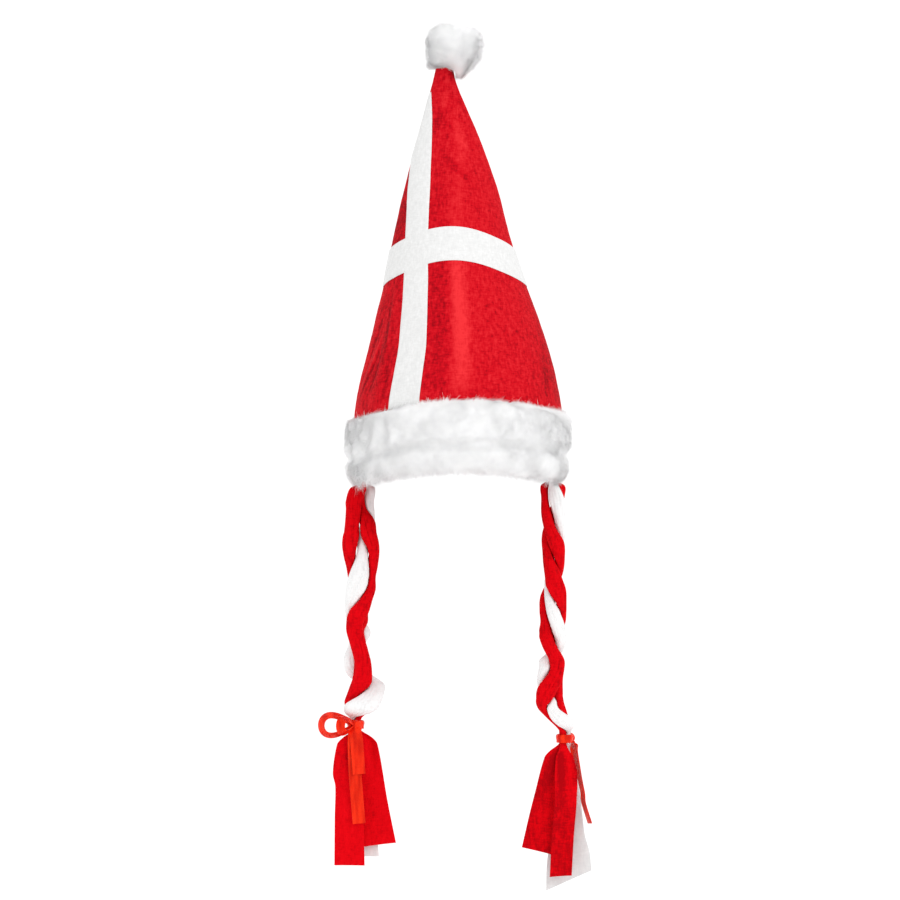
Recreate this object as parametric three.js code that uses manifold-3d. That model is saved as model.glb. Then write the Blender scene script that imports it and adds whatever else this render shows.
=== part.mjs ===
// A pointed felt hat with a white cross, a plush band, a fluffy pompom and two braids.
// Millimetres, +Z up, +X to the right as seen from the front, -Y towards the viewer.
// The origin is the middle of the rim, where the head goes in.

import * as THREE from "three";
import { mergeVertices } from "three/addons/utils/BufferGeometryUtils.js";
import Module from "manifold-3d";

const wasm = await Module();
wasm.setup();

const DEGREE = Math.PI / 180;
const GAP = 0.3; // clearance between neighbouring pieces

// Crown: felt thickness, mesh steps and one row for each level section from the rim to the tip.
const FELT = 1.8;
const FRONT_COLUMNS = 30;
const BACK_COLUMNS = 16;
const CROWN_ROWS = 12;
const ROW_CROWDING = 1.35; // above 1, the rows crowd towards the rim, where the wall bends most
const CROWN_SECTIONS = [
  { height: -8, halfWidth: 78.5, halfDepth: 97, shift: 0, back: 0, seam: 0 },
  { height: 26, halfWidth: 80.5, halfDepth: 99, shift: 0.4, back: 0, seam: 0 },
  { height: 54, halfWidth: 81.5, halfDepth: 97, shift: 0.8, back: 0, seam: 0.02 },
  { height: 104, halfWidth: 70, halfDepth: 80, shift: 1, back: 1, seam: 0.06 },
  { height: 151, halfWidth: 56, halfDepth: 62, shift: -1.7, back: 2, seam: 0.12 },
  { height: 182, halfWidth: 48, halfDepth: 49, shift: -4, back: 3, seam: 0.2 },
  { height: 224, halfWidth: 38, halfDepth: 33, shift: -5, back: 4, seam: 0.3 },
  { height: 269, halfWidth: 23.5, halfDepth: 17, shift: -7, back: 6, seam: 0.3 },
  { height: 309, halfWidth: 9.9, halfDepth: 7, shift: -10, back: 7, seam: 0.2 },
  { height: 325, halfWidth: 6, halfDepth: 5, shift: -10, back: 7, seam: 0 },
];
const TIP_HEIGHT = 325;

// Folds of the felt: azimuth in degrees from the front, slant in degrees for each millimetre of height,
// width in degrees, reach and rise in millimetres. A rise below 0 is a dent.
const FOLDS = [
  { azimuth: -52, height: 95, slant: -0.06, width: 5, reach: 42, rise: 1.5 },
  { azimuth: -61, height: 92, slant: 0.06, width: 5, reach: 40, rise: -1.6 },
  { azimuth: -74, height: 88, slant: 0.22, width: 6, reach: 34, rise: -1.4 },
  { azimuth: 4, height: 170, slant: 0, width: 18, reach: 110, rise: 1 },
  { azimuth: -12, height: 238, slant: 0, width: 14, reach: 26, rise: -1.4 },
  { azimuth: 42, height: 250, slant: -0.3, width: 14, reach: 26, rise: -1.2 },
  { azimuth: 148, height: 130, slant: 0.12, width: 13, reach: 60, rise: -1.6 },
  { azimuth: -142, height: 150, slant: -0.1, width: 13, reach: 60, rise: -1.4 },
];
const FOLD_FADE = 12; // height over which the folds grow out of the band

// Cross: sizes on the flat front panel, a sector whose point is at the crown's apex.
const APEX_HEIGHT = 330;
const PANEL_SLANT = 0.96; // height lost for each millimetre down the panel
const PANEL_HALF_ANGLE = 26.6 * DEGREE;
const PANEL_FLATNESS = { share: 0.99, power: 6 }; // how evenly the width is spread, but for the seams
const CROSS = {
  thickness: 1,
  lift: 0.75, // clearance over the crown
  stripeWidth: 13.2, // at the apex
  stripeGrowth: 0.081, // wider for each millimetre down
  stripeStart: 14, // how far left of the middle the stripe's line starts at the apex
  stripeDrift: 0.172, // further left for each millimetre down
  bendStart: 238, // from here down the stripe bends further left
  stripeBend: 0.085,
  stripeTop: 26,
  barTop: 141.7,
  barBottom: 169.9,
  seamMargin: 0.8,
  bandMargin: 0.6, // clearance over the band's top edge
};
const CROSS_STEPS = { side: 5, stripe: 3, farSide: 13, above: 11, bar: 3, below: 8 };
const SEAM_CROWDING = 1.6; // above 1, the columns of the cross crowd towards the seams

// Band: heights of its two edges, with the drop towards the sides and the lean to one side.
const BAND_TOP = { front: 57.5, drop: 12.5, lean: 3 };
const BAND_BOTTOM = { front: 4, drop: 9, lean: 1.3 };
const HEM = 6; // how far the band reaches below the crown's lower edge
const HEM_ROUND = 1.5; // height of the rounded edge inside the rim
const BAND_STEPS = 48;
const BAND_PROFILE = [
  { rise: 1, out: 1.6, fluff: 0.3 },
  { rise: 0.985, out: 4.6, fluff: 0.6 },
  { rise: 0.9, out: 7.2, fluff: 1 },
  { rise: 0.72, out: 8.6, fluff: 1 },
  { rise: 0.53, out: 8.4, fluff: 1 },
  { rise: 0.38, out: 7, fluff: 0.6 },
  { rise: 0.24, out: 8.6, fluff: 1 },
  { rise: 0.1, out: 7.8, fluff: 1 },
  { rise: 0.02, out: 4.8, fluff: 0.6 },
  { rise: 0, out: 0.8, fluff: 0.3 },
];
const BAND_WALL_RISES = [0.36, 0.58, 0.78, 0.95];
const BAND_LOCKS = { around: 19, stagger: 2.3, height: 0.7 };

// Pompom: a ball of locks.
const POMPOM = {
  centre: new THREE.Vector3(-2, 7, 338.2),
  half: new THREE.Vector3(22.6, 21, 20.8),
  detail: 5,
  locks: 84,
  valley: 0.84, // radius between two locks, as a share of the full one
  lockAngle: 15 * DEGREE,
};
// The part of the crown that the pompom is set on, with its clearance.
const TIP_PLUG = { depth: 24, steps: 3, sides: 24, clearance: 1.2 };

// Braids: three folded strips each, hung inside the rim and tied at the foot. A braid's line is its middle.
// A strip's path gives its own middle from that line and its half sizes, with a row for each crossing.
// Paths are measured down from the origin and tails down from the tie.
// A strip's section has six corners, listed as shares of its half width and half thickness.
const STRIP_SECTION = [
  { across: 1, through: -1 },
  { across: 1, through: 1 },
  { across: 0, through: 1 },
  { across: -1, through: 1 },
  { across: -1, through: -1 },
  { across: 0, through: -1 },
];
const BRAID_STEP = 3.8; // height from one section of a braid to the next
const TAIL_STEPS = 9;
const TAIL_CROWDING = 1.5; // above 1, the sections of a tail crowd towards its tie
const STRAND_GAP = 2.5; // clearance where two strips of a braid press on each other
const TIE_FOOT = 4; // how far below the tie the strips stay bundled
const TAIL_OPEN = 15; // how far below the tie the strips have opened flat
const PATH_COLUMNS = "down across back wide deep";
const TAIL_COLUMNS = "drop across back width thick cup face slant";
const BRAIDS = [
  {
    name: "left",
    line: table(
      "down across",
      [-10.7, -74.3],
      [6.6, -74.3],
      [12, -75],
      [22, -76],
      [58, -75.8],
      [100, -77.4],
      [150, -77.8],
      [197, -80],
    ),
    strands: [
      {
        name: "white",
        path: table(
          PATH_COLUMNS,
          [-10.7, 0, 7.5, 2.1, 3.5],
          [6.6, 0.3, 7, 2.1, 3.5],
          [9.8, 5, 5.5, 4.6, 5],
          [22, 5.5, 4.5, 5, 6],
          [36, 5.5, 4.5, 5.6, 6],
          [50, 3, 2, 7, 6],
          [66, 1.4, -4.5, 6.6, 6],
          [84, -0.4, -6.5, 9.6, 6],
          [97, -2.5, -5, 8.6, 6],
          [107, -5, -0.5, 6, 6],
          [115, -3, 4.5, 7, 5.5],
          [124, 2.5, 6, 7, 5.5],
          [133, -1, 6, 7, 5.5],
          [142, -5, 5.5, 6.8, 5.5],
          [151, -4.6, 5.8, 7.2, 5.5],
          [159, 2, 6.6, 11, 5],
          [166, 11, 2.5, 10.5, 6.5],
          [173, 10, -4.5, 11, 6.5],
          [180, 5, -8.5, 14, 6.5],
          [187, 2, -7, 11.5, 6],
          [192, -2.6, -0.5, 2.6, 2.6],
          [197, -2.6, -0.5, 2.6, 2.6],
        ),
        tail: table(
          TAIL_COLUMNS,
          [10, -2, 5, 9, 3, 0, 20, 0],
          [26, 0, 7, 15, 2.6, 0, 10, 0],
          [60, 4.5, 7.5, 19, 2.4, 1, 4, 0],
          [105, 7.5, 7.5, 21.6, 2.4, 1, 0, 0],
        ),
      },
      {
        name: "red_a",
        path: table(
          PATH_COLUMNS,
          [-10.7, 0, -7.5, 2.1, 3.5],
          [6.6, 0.3, -7, 2.1, 3.5],
          [9.8, -2.8, -5, 6.4, 5],
          [20, -5, -4.5, 7, 5.5],
          [27, -5.4, -4, 6.4, 5.5],
          [38, -5.6, -4, 7, 6],
          [54, -8.4, -3, 6.6, 6.5],
          [66, -8.2, -1.5, 5, 6],
          [74, -6, 2, 5, 6],
          [92, -1, 6, 7, 6],
          [107, 1, 3.5, 6.5, 5],
          [116, 1.5, -0.5, 6, 5],
          [124, -1, -0.2, 5.5, 5],
          [134, 0.5, 0, 5.8, 5],
          [146, 3, 0, 6.5, 5],
          [160, 3.5, -0.6, 7.5, 5],
          [168, 5, 1.9, 8, 5],
          [174, 5.5, 3.7, 8, 5],
          [180, 4, 4.2, 7, 5.5],
          [187, 4.2, 2, 5.5, 5],
          [192, 1.8, -2, 2.6, 2.6],
          [197, 1.8, -2, 2.6, 2.6],
        ),
        tail: table(
          TAIL_COLUMNS,
          [9, -4.5, -6, 14, 3, 1, -8, 0],
          [18, -6, -6.5, 18, 2.6, 1.5, -8, 0],
          [38, -6.5, -7, 22.5, 2.4, 1.5, -6, 0],
          [48, -5.6, -7, 20.5, 2.4, 1.5, -4, 0],
          [72, -5, -6.5, 22.6, 2.4, 1.5, -4, 0],
          [110.5, -4.6, -6.5, 24, 2.4, 1.5, -4, 0],
        ),
      },
      {
        name: "red_b",
        path: table(
          PATH_COLUMNS,
          [-10.7, 0, 0, 2.1, 3.5],
          [6.6, 0.3, 0, 2.1, 3.5],
          [9.8, -3, 1, 5, 5],
          [26, 0, 2, 6.5, 5.5],
          [34, 3, -1.5, 7.6, 6],
          [44, 5.2, -4.5, 7.8, 6],
          [58, 9.4, -4, 5.4, 6.5],
          [72, 9.4, -2.5, 4.4, 6],
          [81, 9.2, -2, 3.4, 5.5],
          [90, 8.4, -4, 4.6, 6],
          [98, 5, -7, 6, 6],
          [107, 0.4, -8, 8.5, 6],
          [115, -2.4, -7, 7.4, 6],
          [124, -2.6, -6, 7, 6],
          [134, 0, -6, 6.7, 6],
          [146, 3, -6, 6.8, 6],
          [160, 3.5, -6, 7.8, 6],
          [168, 1.5, -4, 8.5, 6],
          [174, -1.5, 0, 7.5, 6],
          [180, -3.5, 3.5, 7, 5.5],
          [187, -2, 4.5, 5.5, 5],
          [192, 0.8, 2.5, 2.6, 2.6],
          [197, 0.8, 2.5, 2.6, 2.6],
        ),
        tail: table(
          TAIL_COLUMNS,
          [10, 7, 0.5, 15.5, 3, 1, 6, 0],
          [22, 9, 0.5, 19, 2.6, 1.5, 6, 0],
          [60, 13, 1, 24, 2.4, 1.5, 4, 0],
          [95, 18.5, 1, 26.5, 2.4, 1.5, 4, -1.5],
        ),
      },
    ],
    ribbon: {
      facing: 0,
      loopSide: -1,
      loops: [
        { length: 27, halfHeight: 8, swing: 6 },
        { length: 15.5, halfHeight: 5.5, swing: 42 },
      ],
      longTurn: 0,
      longTail: [
        { across: 0, out: 8.5, drop: 2 },
        { across: -1, out: 12, drop: 12 },
        { across: 0, out: 13, drop: 40 },
        { across: 3, out: 13, drop: 77 },
      ],
      shortTail: [
        { across: -1, out: 9, drop: 2 },
        { across: 1, out: 14, drop: 12 },
        { across: 3, out: 15, drop: 38 },
      ],
    },
  },
  {
    name: "right",
    line: table(
      "down across",
      [-10.7, 75],
      [4, 75],
      [10, 75.6],
      [22, 75.8],
      [115, 75.8],
      [150, 74.5],
      [175, 74],
      [190, 80.5],
      [200, 84.5],
      [208, 85],
    ),
    strands: [
      {
        name: "white",
        path: table(
          PATH_COLUMNS,
          [-10.7, 0, -7.5, 2.1, 3.5],
          [4, -0.3, -7, 2.1, 3.5],
          [8, 0.6, -6, 3.8, 5],
          [20, 2.8, -5.5, 6.4, 6],
          [34, 5, -3.5, 5, 6],
          [46, 5.5, 0.5, 4.5, 6],
          [54, 3, 3.5, 5.5, 5.5],
          [66, -3, 5, 5, 5.5],
          [78, -2.5, 4.2, 4, 5.5],
          [87, -3, 0.2, 4, 5.5],
          [98, -1.8, -3, 5, 5.5],
          [109, 0.5, -6, 5.6, 5.5],
          [123, 4.8, -5, 5.8, 6],
          [132, 6.5, -1.5, 4.6, 6],
          [140, 2.5, 1.6, 6, 5],
          [146, -3.5, 1, 6, 5],
          [152, -4, -1.5, 5.8, 6],
          [160, -6, 0, 4.8, 6],
          [168, -4, 2, 5.5, 5.5],
          [177, -1, -2, 5, 6],
          [184, -2.5, -5.5, 5.2, 6],
          [193, 1, -6.5, 9, 6],
          [198, 2, -5, 6.5, 5.5],
          [203, 2.5, 0.4, 2.6, 2.6],
          [208, 2.5, 0.4, 2.6, 2.6],
        ),
        tail: table(
          TAIL_COLUMNS,
          [10, 1.2, 6.4, 8, 3, 0, 4, 0],
          [30, 2.6, 8.4, 15, 2.6, 0, 0, 0],
          [50, 3, 8, 20.5, 2.4, 1, -2, 0],
          [76, 3, 7, 26.5, 2.4, 1, -2, 0],
          [95, 3.2, 7, 34, 2.4, 1, 0, -4],
          [113, 3.5, 7, 36, 2.4, 1, 0, -8],
        ),
      },
      {
        name: "red_a",
        path: table(
          PATH_COLUMNS,
          [-10.7, 0, 0, 2.1, 3.5],
          [4, -0.8, 0, 2.1, 3.5],
          [8, -6, -0.5, 3.2, 5],
          [18, -6.4, -1, 3, 5.5],
          [31, -5.2, -3.5, 4.2, 6],
          [43, -2, -5, 5.2, 6],
          [53, 2.2, -6, 6.4, 6],
          [66, 4.2, -3, 5, 6],
          [78, 3.4, 3, 4.4, 6],
          [88, -1.5, 6.5, 5, 5.5],
          [97, -5.5, 4.2, 4.8, 5.5],
          [108, -6.5, 1, 4.2, 5.5],
          [116, -6, -1, 4, 5.5],
          [126, -5.5, -3.5, 5.6, 6],
          [136, -1.5, -5.5, 6, 5.5],
          [146, 4, -5.5, 6.3, 6],
          [155, 4, -5.5, 6.5, 6],
          [165, 0, -7, 9, 6],
          [176, -5, -6, 7.5, 6],
          [184, -8, -3, 6, 6],
          [190, -7, 0, 4.6, 5.5],
          [196, -3.5, -0.5, 4.5, 5],
          [203, -1.1, -2.4, 2.6, 2.6],
          [208, -1.1, -2.4, 2.6, 2.6],
        ),
        tail: table(
          TAIL_COLUMNS,
          [10, -0.5, -5.5, 12.5, 3, 1, 0, 0],
          [26, 0.8, -6.5, 17.5, 2.6, 1.5, 2, 0],
          [50, 0.4, -6.8, 17.5, 2.4, 1.5, 4, 0],
          [76, -1.7, -6.5, 17.5, 2.4, 1.5, 4, 0],
          [108, -3.4, -6.5, 17.4, 2.4, 1.5, 4, -0.5],
        ),
      },
      {
        name: "red_b",
        path: table(
          PATH_COLUMNS,
          [-10.7, 0, 7.5, 2.1, 3.5],
          [4, -0.3, 7, 2.1, 3.5],
          [8, 5, 5, 4.6, 5],
          [17, 5, 4.5, 4.4, 5.5],
          [32, 1, 5, 5.5, 5.5],
          [48, -3.5, 3.5, 5.5, 5.5],
          [62, -3.6, -1.5, 5, 6],
          [72, -2, -4.5, 6, 6],
          [81, 0, -6, 7, 6],
          [90, 2, -6.5, 8, 6],
          [99, 5, -5, 5.6, 6],
          [108, 6.3, -1, 4.4, 6],
          [118, 4.5, 3.5, 5.5, 5.5],
          [132, -1, 6.5, 6.2, 4.8],
          [141, 1.5, 9, 6, 4.6],
          [150, 5, 5, 5.6, 5],
          [160, 5, 0.5, 5, 6],
          [174, 5, 0.5, 5, 6],
          [186, 2.5, 3.5, 5.5, 5.5],
          [196, 0.5, 4, 5, 5],
          [203, -1.6, 2.1, 2.6, 2.6],
          [208, -1.6, 2.1, 2.6, 2.6],
        ),
        tail: table(
          TAIL_COLUMNS,
          [10, -6.5, 0.5, 14.5, 3, 1, -6, 0],
          [22, -9, 0, 18, 2.6, 1.5, -6, 0],
          [40, -12.4, 0, 20.5, 2.4, 1.5, -4, 0],
          [60, -16, 0, 23, 2.4, 1.5, -4, 1],
          [89, -21, 0, 25.5, 2.4, 1.5, -4, 3],
        ),
      },
    ],
    ribbon: {
      facing: 150,
      loopSide: 1,
      loops: [],
      longTurn: -40,
      longTail: [
        { across: 0, out: 8, drop: 2 },
        { across: -6.2, out: 5.3, drop: 7 },
        { across: -8.3, out: 3.2, drop: 12 },
        { across: -11.6, out: 3.7, drop: 31 },
        { across: -13.6, out: 4.8, drop: 43 },
        { across: -14.3, out: 5.2, drop: 51 },
        { across: -18.6, out: 7.7, drop: 67 },
      ],
      shortTail: [
        { across: 0.5, out: 8.4, drop: 2 },
        { across: 2, out: 14, drop: 12 },
        { across: 2.5, out: 16, drop: 34 },
      ],
    },
  },
];

// Ribbon: a satin strip wound round the tie and knotted, with two tails and on the left two loops.
const RIBBON = {
  thickness: 0.9,
  ringRadius: 6.2,
  ringHeight: 6.5,
  ringSides: 16,
  knotOut: 7.8,
  knotHalf: new THREE.Vector3(4.6, 3, 4.2),
  knotSides: 8,
  knotRows: 5,
  loopWidth: 7.2,
  loopTilt: 42 * DEGREE, // how far the loops' faces turn to the front
  loopSteps: 6,
  loopStart: 0.03, // share of a loop that is inside the knot, at each end
  tailWidth: 10,
  tailSteps: 7,
};

const RECTANGLE = [[1, -1], [1, 1], [-1, 1], [-1, -1]]; // corners of a flat strip's section

const MATERIALS = {
  redFelt: new THREE.MeshStandardMaterial({ color: "#c60f20", roughness: 0.92, metalness: 0 }),
  braidFelt: new THREE.MeshStandardMaterial({ color: "#dc0614", roughness: 0.92, metalness: 0 }),
  whiteFelt: new THREE.MeshStandardMaterial({ color: "#f2f0ee", roughness: 0.92, metalness: 0 }),
  whitePlush: new THREE.MeshStandardMaterial({ color: "#f6f5f4", roughness: 0.95, metalness: 0 }),
  redSatin: new THREE.MeshStandardMaterial({ color: "#dd2417", roughness: 0.4, metalness: 0 }),
};

// The rows of a table, as objects with a value for each named column.
function table(columns, ...rows) {
  const names = columns.split(" ");
  return rows.map((row) => Object.fromEntries(names.map((name, i) => [name, row[i]])));
}

// Every column of a table at one value of its key, on a smooth curve through the rows.
function between(rows, key, value) {
  const last = rows.length - 1;
  const at = Math.min(Math.max(value, rows[0][key]), rows[last][key]);
  let i = 0;
  while (i < last - 1 && at > rows[i + 1][key]) {
    i += 1;
  }
  const slope = (j, column) => {
    const before = rows[Math.max(j - 1, 0)];
    const after = rows[Math.min(j + 1, last)];
    return (after[column] - before[column]) / (after[key] - before[key]);
  };
  const [low, high] = [rows[i], rows[i + 1]];
  const step = high[key] - low[key];
  const t = (at - low[key]) / step;
  const result = {};
  for (const column of Object.keys(low)) {
    const rise = high[column] - low[column];
    const bend = (1 - t) * (slope(i, column) * step - rise) - t * (slope(i + 1, column) * step - rise);
    result[column] = low[column] + rise * t + t * (1 - t) * bend;
  }
  return result;
}

function edgeHeight(edge, azimuth) {
  const side = Math.sin(azimuth);
  return edge.front - edge.drop * side * side + edge.lean * side;
}

function foldRise(azimuth, height) {
  let rise = 0;
  for (const fold of FOLDS) {
    const up = height - fold.height;
    const turn = azimuth / DEGREE - fold.azimuth - fold.slant * up;
    const across = (turn - 360 * Math.round(turn / 360)) / fold.width;
    rise += fold.rise * Math.exp(-across * across - (up / fold.reach) ** 2);
  }
  const top = edgeHeight(BAND_TOP, azimuth);
  return rise * THREE.MathUtils.smoothstep(height, top, top + FOLD_FADE);
}

// A point on the crown at an azimuth and height, moved outwards from its outer face.
function crownPoint(azimuth, height, out) {
  const section = between(CROWN_SECTIONS, "height", height);
  const grow = out + foldRise(azimuth, height);
  const front = Math.cos(azimuth);
  const lens = Math.sign(front) * Math.abs(front) ** (1 + section.seam);
  return new THREE.Vector3(
    section.shift + (section.halfWidth + grow) * Math.sin(azimuth),
    section.back - (section.halfDepth + grow) * lens,
    height,
  );
}

// A closed mesh from points and faces of three or four corners, with its faces pointing out.
function closedMesh(points, faces) {
  const triangles = faces.flatMap((face) =>
    face.length === 4 ? [[face[0], face[1], face[2]], [face[0], face[2], face[3]]] : [face],
  );
  const volume = triangles.reduce((sum, [a, b, c]) => {
    return sum + points[a].dot(new THREE.Vector3().crossVectors(points[b], points[c]));
  }, 0);
  const outward = volume < 0 ? triangles.map(([a, b, c]) => [a, c, b]) : triangles;
  const geometry = new THREE.BufferGeometry().setFromPoints(points);
  geometry.setIndex(outward.flat());
  return geometry;
}

// A wall between two grids of points, over the cells that are kept.
function wall(outer, inner, keep) {
  const rows = outer.length - 1;
  const columns = outer[0].length - 1;
  const used = (i, j) => i >= 0 && j >= 0 && i < rows && j < columns && keep(i, j);
  const number = new Map();
  const points = [];
  const index = (i, j, layer) => {
    const key = `${i} ${j} ${layer}`;
    if (!number.has(key)) {
      number.set(key, points.length);
      points.push((layer ? inner : outer)[i][j]);
    }
    return number.get(key);
  };
  const faces = [];
  const side = (i, j, k, l) => faces.push([index(i, j, 0), index(i, j, 1), index(k, l, 1), index(k, l, 0)]);
  for (let i = 0; i < rows; i++) {
    for (let j = 0; j < columns; j++) {
      if (!used(i, j)) {
        continue;
      }
      const corners = [[i, j], [i, j + 1], [i + 1, j + 1], [i + 1, j]];
      faces.push(corners.map(([k, l]) => index(k, l, 0)));
      faces.push(corners.map(([k, l]) => index(k, l, 1)).reverse());
      const edges = [
        { beyond: [i - 1, j], ends: [i, j, i, j + 1] },
        { beyond: [i + 1, j], ends: [i + 1, j + 1, i + 1, j] },
        { beyond: [i, j - 1], ends: [i + 1, j, i, j] },
        { beyond: [i, j + 1], ends: [i, j + 1, i + 1, j + 1] },
      ];
      for (const edge of edges) {
        if (!used(...edge.beyond)) {
          side(...edge.ends);
        }
      }
    }
  }
  return closedMesh(points, faces);
}

// A closed body through rings of points, as a loop or with its two ends capped by bands of quads.
function loft(rings, looped) {
  const sides = rings[0].length;
  const points = rings.flat();
  const faces = [];
  const spans = looped ? rings.length : rings.length - 1;
  for (let i = 0; i < spans; i++) {
    const next = (i + 1) % rings.length;
    for (let j = 0; j < sides; j++) {
      const k = (j + 1) % sides;
      faces.push([i * sides + j, i * sides + k, next * sides + k, next * sides + j]);
    }
  }
  if (!looped) {
    const end = (rings.length - 1) * sides;
    for (let j = 0; j < sides / 2 - 1; j++) {
      const quad = [(sides - j) % sides, j + 1, j + 2, sides - j - 1];
      faces.push([...quad].reverse());
      faces.push(quad.map((corner) => corner + end));
    }
  }
  return closedMesh(points, faces);
}

function solid(geometry) {
  const bare = geometry.clone();
  bare.deleteAttribute("normal");
  bare.deleteAttribute("uv");
  const merged = mergeVertices(bare);
  const vertProperties = new Float32Array(merged.attributes.position.array);
  const triVerts = new Uint32Array(merged.index.array);
  return new wasm.Manifold(new wasm.Mesh({ numProp: 3, vertProperties, triVerts }));
}

function meshOf(body) {
  const mesh = body.getMesh();
  const geometry = new THREE.BufferGeometry();
  geometry.setAttribute("position", new THREE.BufferAttribute(mesh.vertProperties, 3));
  geometry.setIndex(new THREE.BufferAttribute(mesh.triVerts, 1));
  return geometry;
}

function crownPanel(middle, columns) {
  const seam = middle === 0 ? -GAP / 2 : GAP / 2;
  const layer = (out) => {
    const grid = [];
    for (let i = 0; i <= CROWN_ROWS; i++) {
      const row = [];
      for (let j = 0; j <= columns; j++) {
        const azimuth = middle + (j / columns - 0.5) * Math.PI;
        const rim = edgeHeight(BAND_BOTTOM, azimuth) + HEM;
        const height = rim + (TIP_HEIGHT - rim) * (i / CROWN_ROWS) ** ROW_CROWDING;
        const point = crownPoint(azimuth, height, out);
        point.y += seam;
        row.push(point);
      }
      grid.push(row);
    }
    return grid;
  };
  return wall(layer(0), layer(-FELT), () => true);
}

// Azimuth and height of a point of the flat front panel: across from its middle line, down from the apex.
function panelPlace(across, down) {
  const share = Math.atan2(across, down) / PANEL_HALF_ANGLE;
  const flat = PANEL_FLATNESS.share * (1 - Math.abs(share) ** PANEL_FLATNESS.power);
  const sine = (1 - flat) * Math.sin((share * Math.PI) / 2) + flat * share;
  return {
    azimuth: Math.asin(THREE.MathUtils.clamp(sine, -1, 1)),
    height: APEX_HEIGHT - Math.hypot(across, down) * PANEL_SLANT,
  };
}

// Places from one value towards another, without the last. A crowding above 1 draws them to the start.
function steps(from, to, count, crowding = 1) {
  return Array.from({ length: count }, (_, i) => from + (to - from) * (i / count) ** crowding);
}

function crossColumns(down) {
  const seam = Math.tan(PANEL_HALF_ANGLE) * down - CROSS.seamMargin;
  const bend = CROSS.stripeBend * Math.max(0, down - CROSS.bendStart);
  const middle = -(CROSS.stripeStart + CROSS.stripeDrift * down + bend);
  const half = (CROSS.stripeWidth + CROSS.stripeGrowth * down) / 2;
  const left = Math.max(middle - half, -seam);
  const right = middle + half;
  return [
    ...steps(-seam, left, CROSS_STEPS.side, SEAM_CROWDING),
    ...steps(left, right, CROSS_STEPS.stripe),
    right,
    ...steps(seam, right, CROSS_STEPS.farSide, SEAM_CROWDING).reverse(),
  ];
}

// How far down the panel a column reaches before it meets the band.
function downToBand(column, down) {
  const across = crossColumns(down)[column];
  const edge = edgeHeight(BAND_TOP, panelPlace(across, down).azimuth) + CROSS.bandMargin;
  return Math.sqrt(((APEX_HEIGHT - edge) / PANEL_SLANT) ** 2 - across * across);
}

function cross() {
  const firstBar = CROSS_STEPS.above;
  const lastBar = firstBar + CROSS_STEPS.bar;
  const rows = lastBar + CROSS_STEPS.below;
  const firstStripe = CROSS_STEPS.side;
  const lastStripe = firstStripe + CROSS_STEPS.stripe;
  const columns = lastStripe + CROSS_STEPS.farSide;
  const downs = [
    ...steps(CROSS.stripeTop, CROSS.barTop, CROSS_STEPS.above),
    ...steps(CROSS.barTop, CROSS.barBottom, CROSS_STEPS.bar),
  ];
  const middleReach = (APEX_HEIGHT - BAND_TOP.front) / PANEL_SLANT;
  const downAt = (i, j) => {
    if (i < lastBar) {
      return downs[i];
    }
    const share = (i - lastBar) / CROSS_STEPS.below;
    const reach = downToBand(j, downToBand(j, middleReach));
    return CROSS.barBottom + (reach - CROSS.barBottom) * share;
  };
  const layer = (out) => {
    const grid = [];
    for (let i = 0; i <= rows; i++) {
      const row = [];
      for (let j = 0; j <= columns; j++) {
        const down = downAt(i, j);
        const place = panelPlace(crossColumns(down)[j], down);
        const point = crownPoint(place.azimuth, place.height, out);
        point.y -= GAP / 2;
        row.push(point);
      }
      grid.push(row);
    }
    return grid;
  };
  const inStripe = (j) => j >= firstStripe && j < lastStripe;
  const inBar = (i) => i >= firstBar && i < lastBar;
  return wall(layer(CROSS.lift + CROSS.thickness), layer(CROSS.lift), (i, j) => inStripe(j) || inBar(i));
}

function band() {
  const ring = (step) => {
    const azimuth = (step / BAND_STEPS) * 2 * Math.PI;
    const low = edgeHeight(BAND_BOTTOM, azimuth);
    const high = edgeHeight(BAND_TOP, azimuth);
    const seat = low + HEM - GAP;
    const outside = BAND_PROFILE.map((row, k) => {
      const wave = Math.sin(BAND_LOCKS.around * azimuth + BAND_LOCKS.stagger * k);
      const out = row.out + BAND_LOCKS.height * row.fluff * wave;
      return crownPoint(azimuth, low + (high - low) * row.rise, out);
    });
    const underRim = [
      crownPoint(azimuth, low + HEM_ROUND, -FELT),
      crownPoint(azimuth, seat, -FELT),
      crownPoint(azimuth, seat, 2 * GAP),
    ];
    const inside = BAND_WALL_RISES.map((rise) => crownPoint(azimuth, low + (high - low) * rise, 2 * GAP));
    return [...outside, ...underRim, ...inside];
  };
  return loft(Array.from({ length: BAND_STEPS }, (_, step) => ring(step)), true);
}

// Directions spread evenly over a sphere.
function sphereDirections(count) {
  const golden = Math.PI * (3 - Math.sqrt(5));
  return Array.from({ length: count }, (_, i) => {
    const up = 1 - (2 * i + 1) / count;
    const flat = Math.sqrt(1 - up * up);
    return new THREE.Vector3(flat * Math.cos(golden * i), flat * Math.sin(golden * i), up);
  });
}

// The tip of the crown, grown by the clearance, which the pompom is hollowed for.
function tipPlug() {
  const { depth, sides, clearance } = TIP_PLUG;
  const levels = [...steps(TIP_HEIGHT - depth, TIP_HEIGHT, TIP_PLUG.steps), TIP_HEIGHT + GAP];
  const rings = levels.map((height) =>
    Array.from({ length: sides }, (_, j) => crownPoint((j / sides) * 2 * Math.PI, height, clearance)),
  );
  return loft(rings, false);
}

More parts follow.
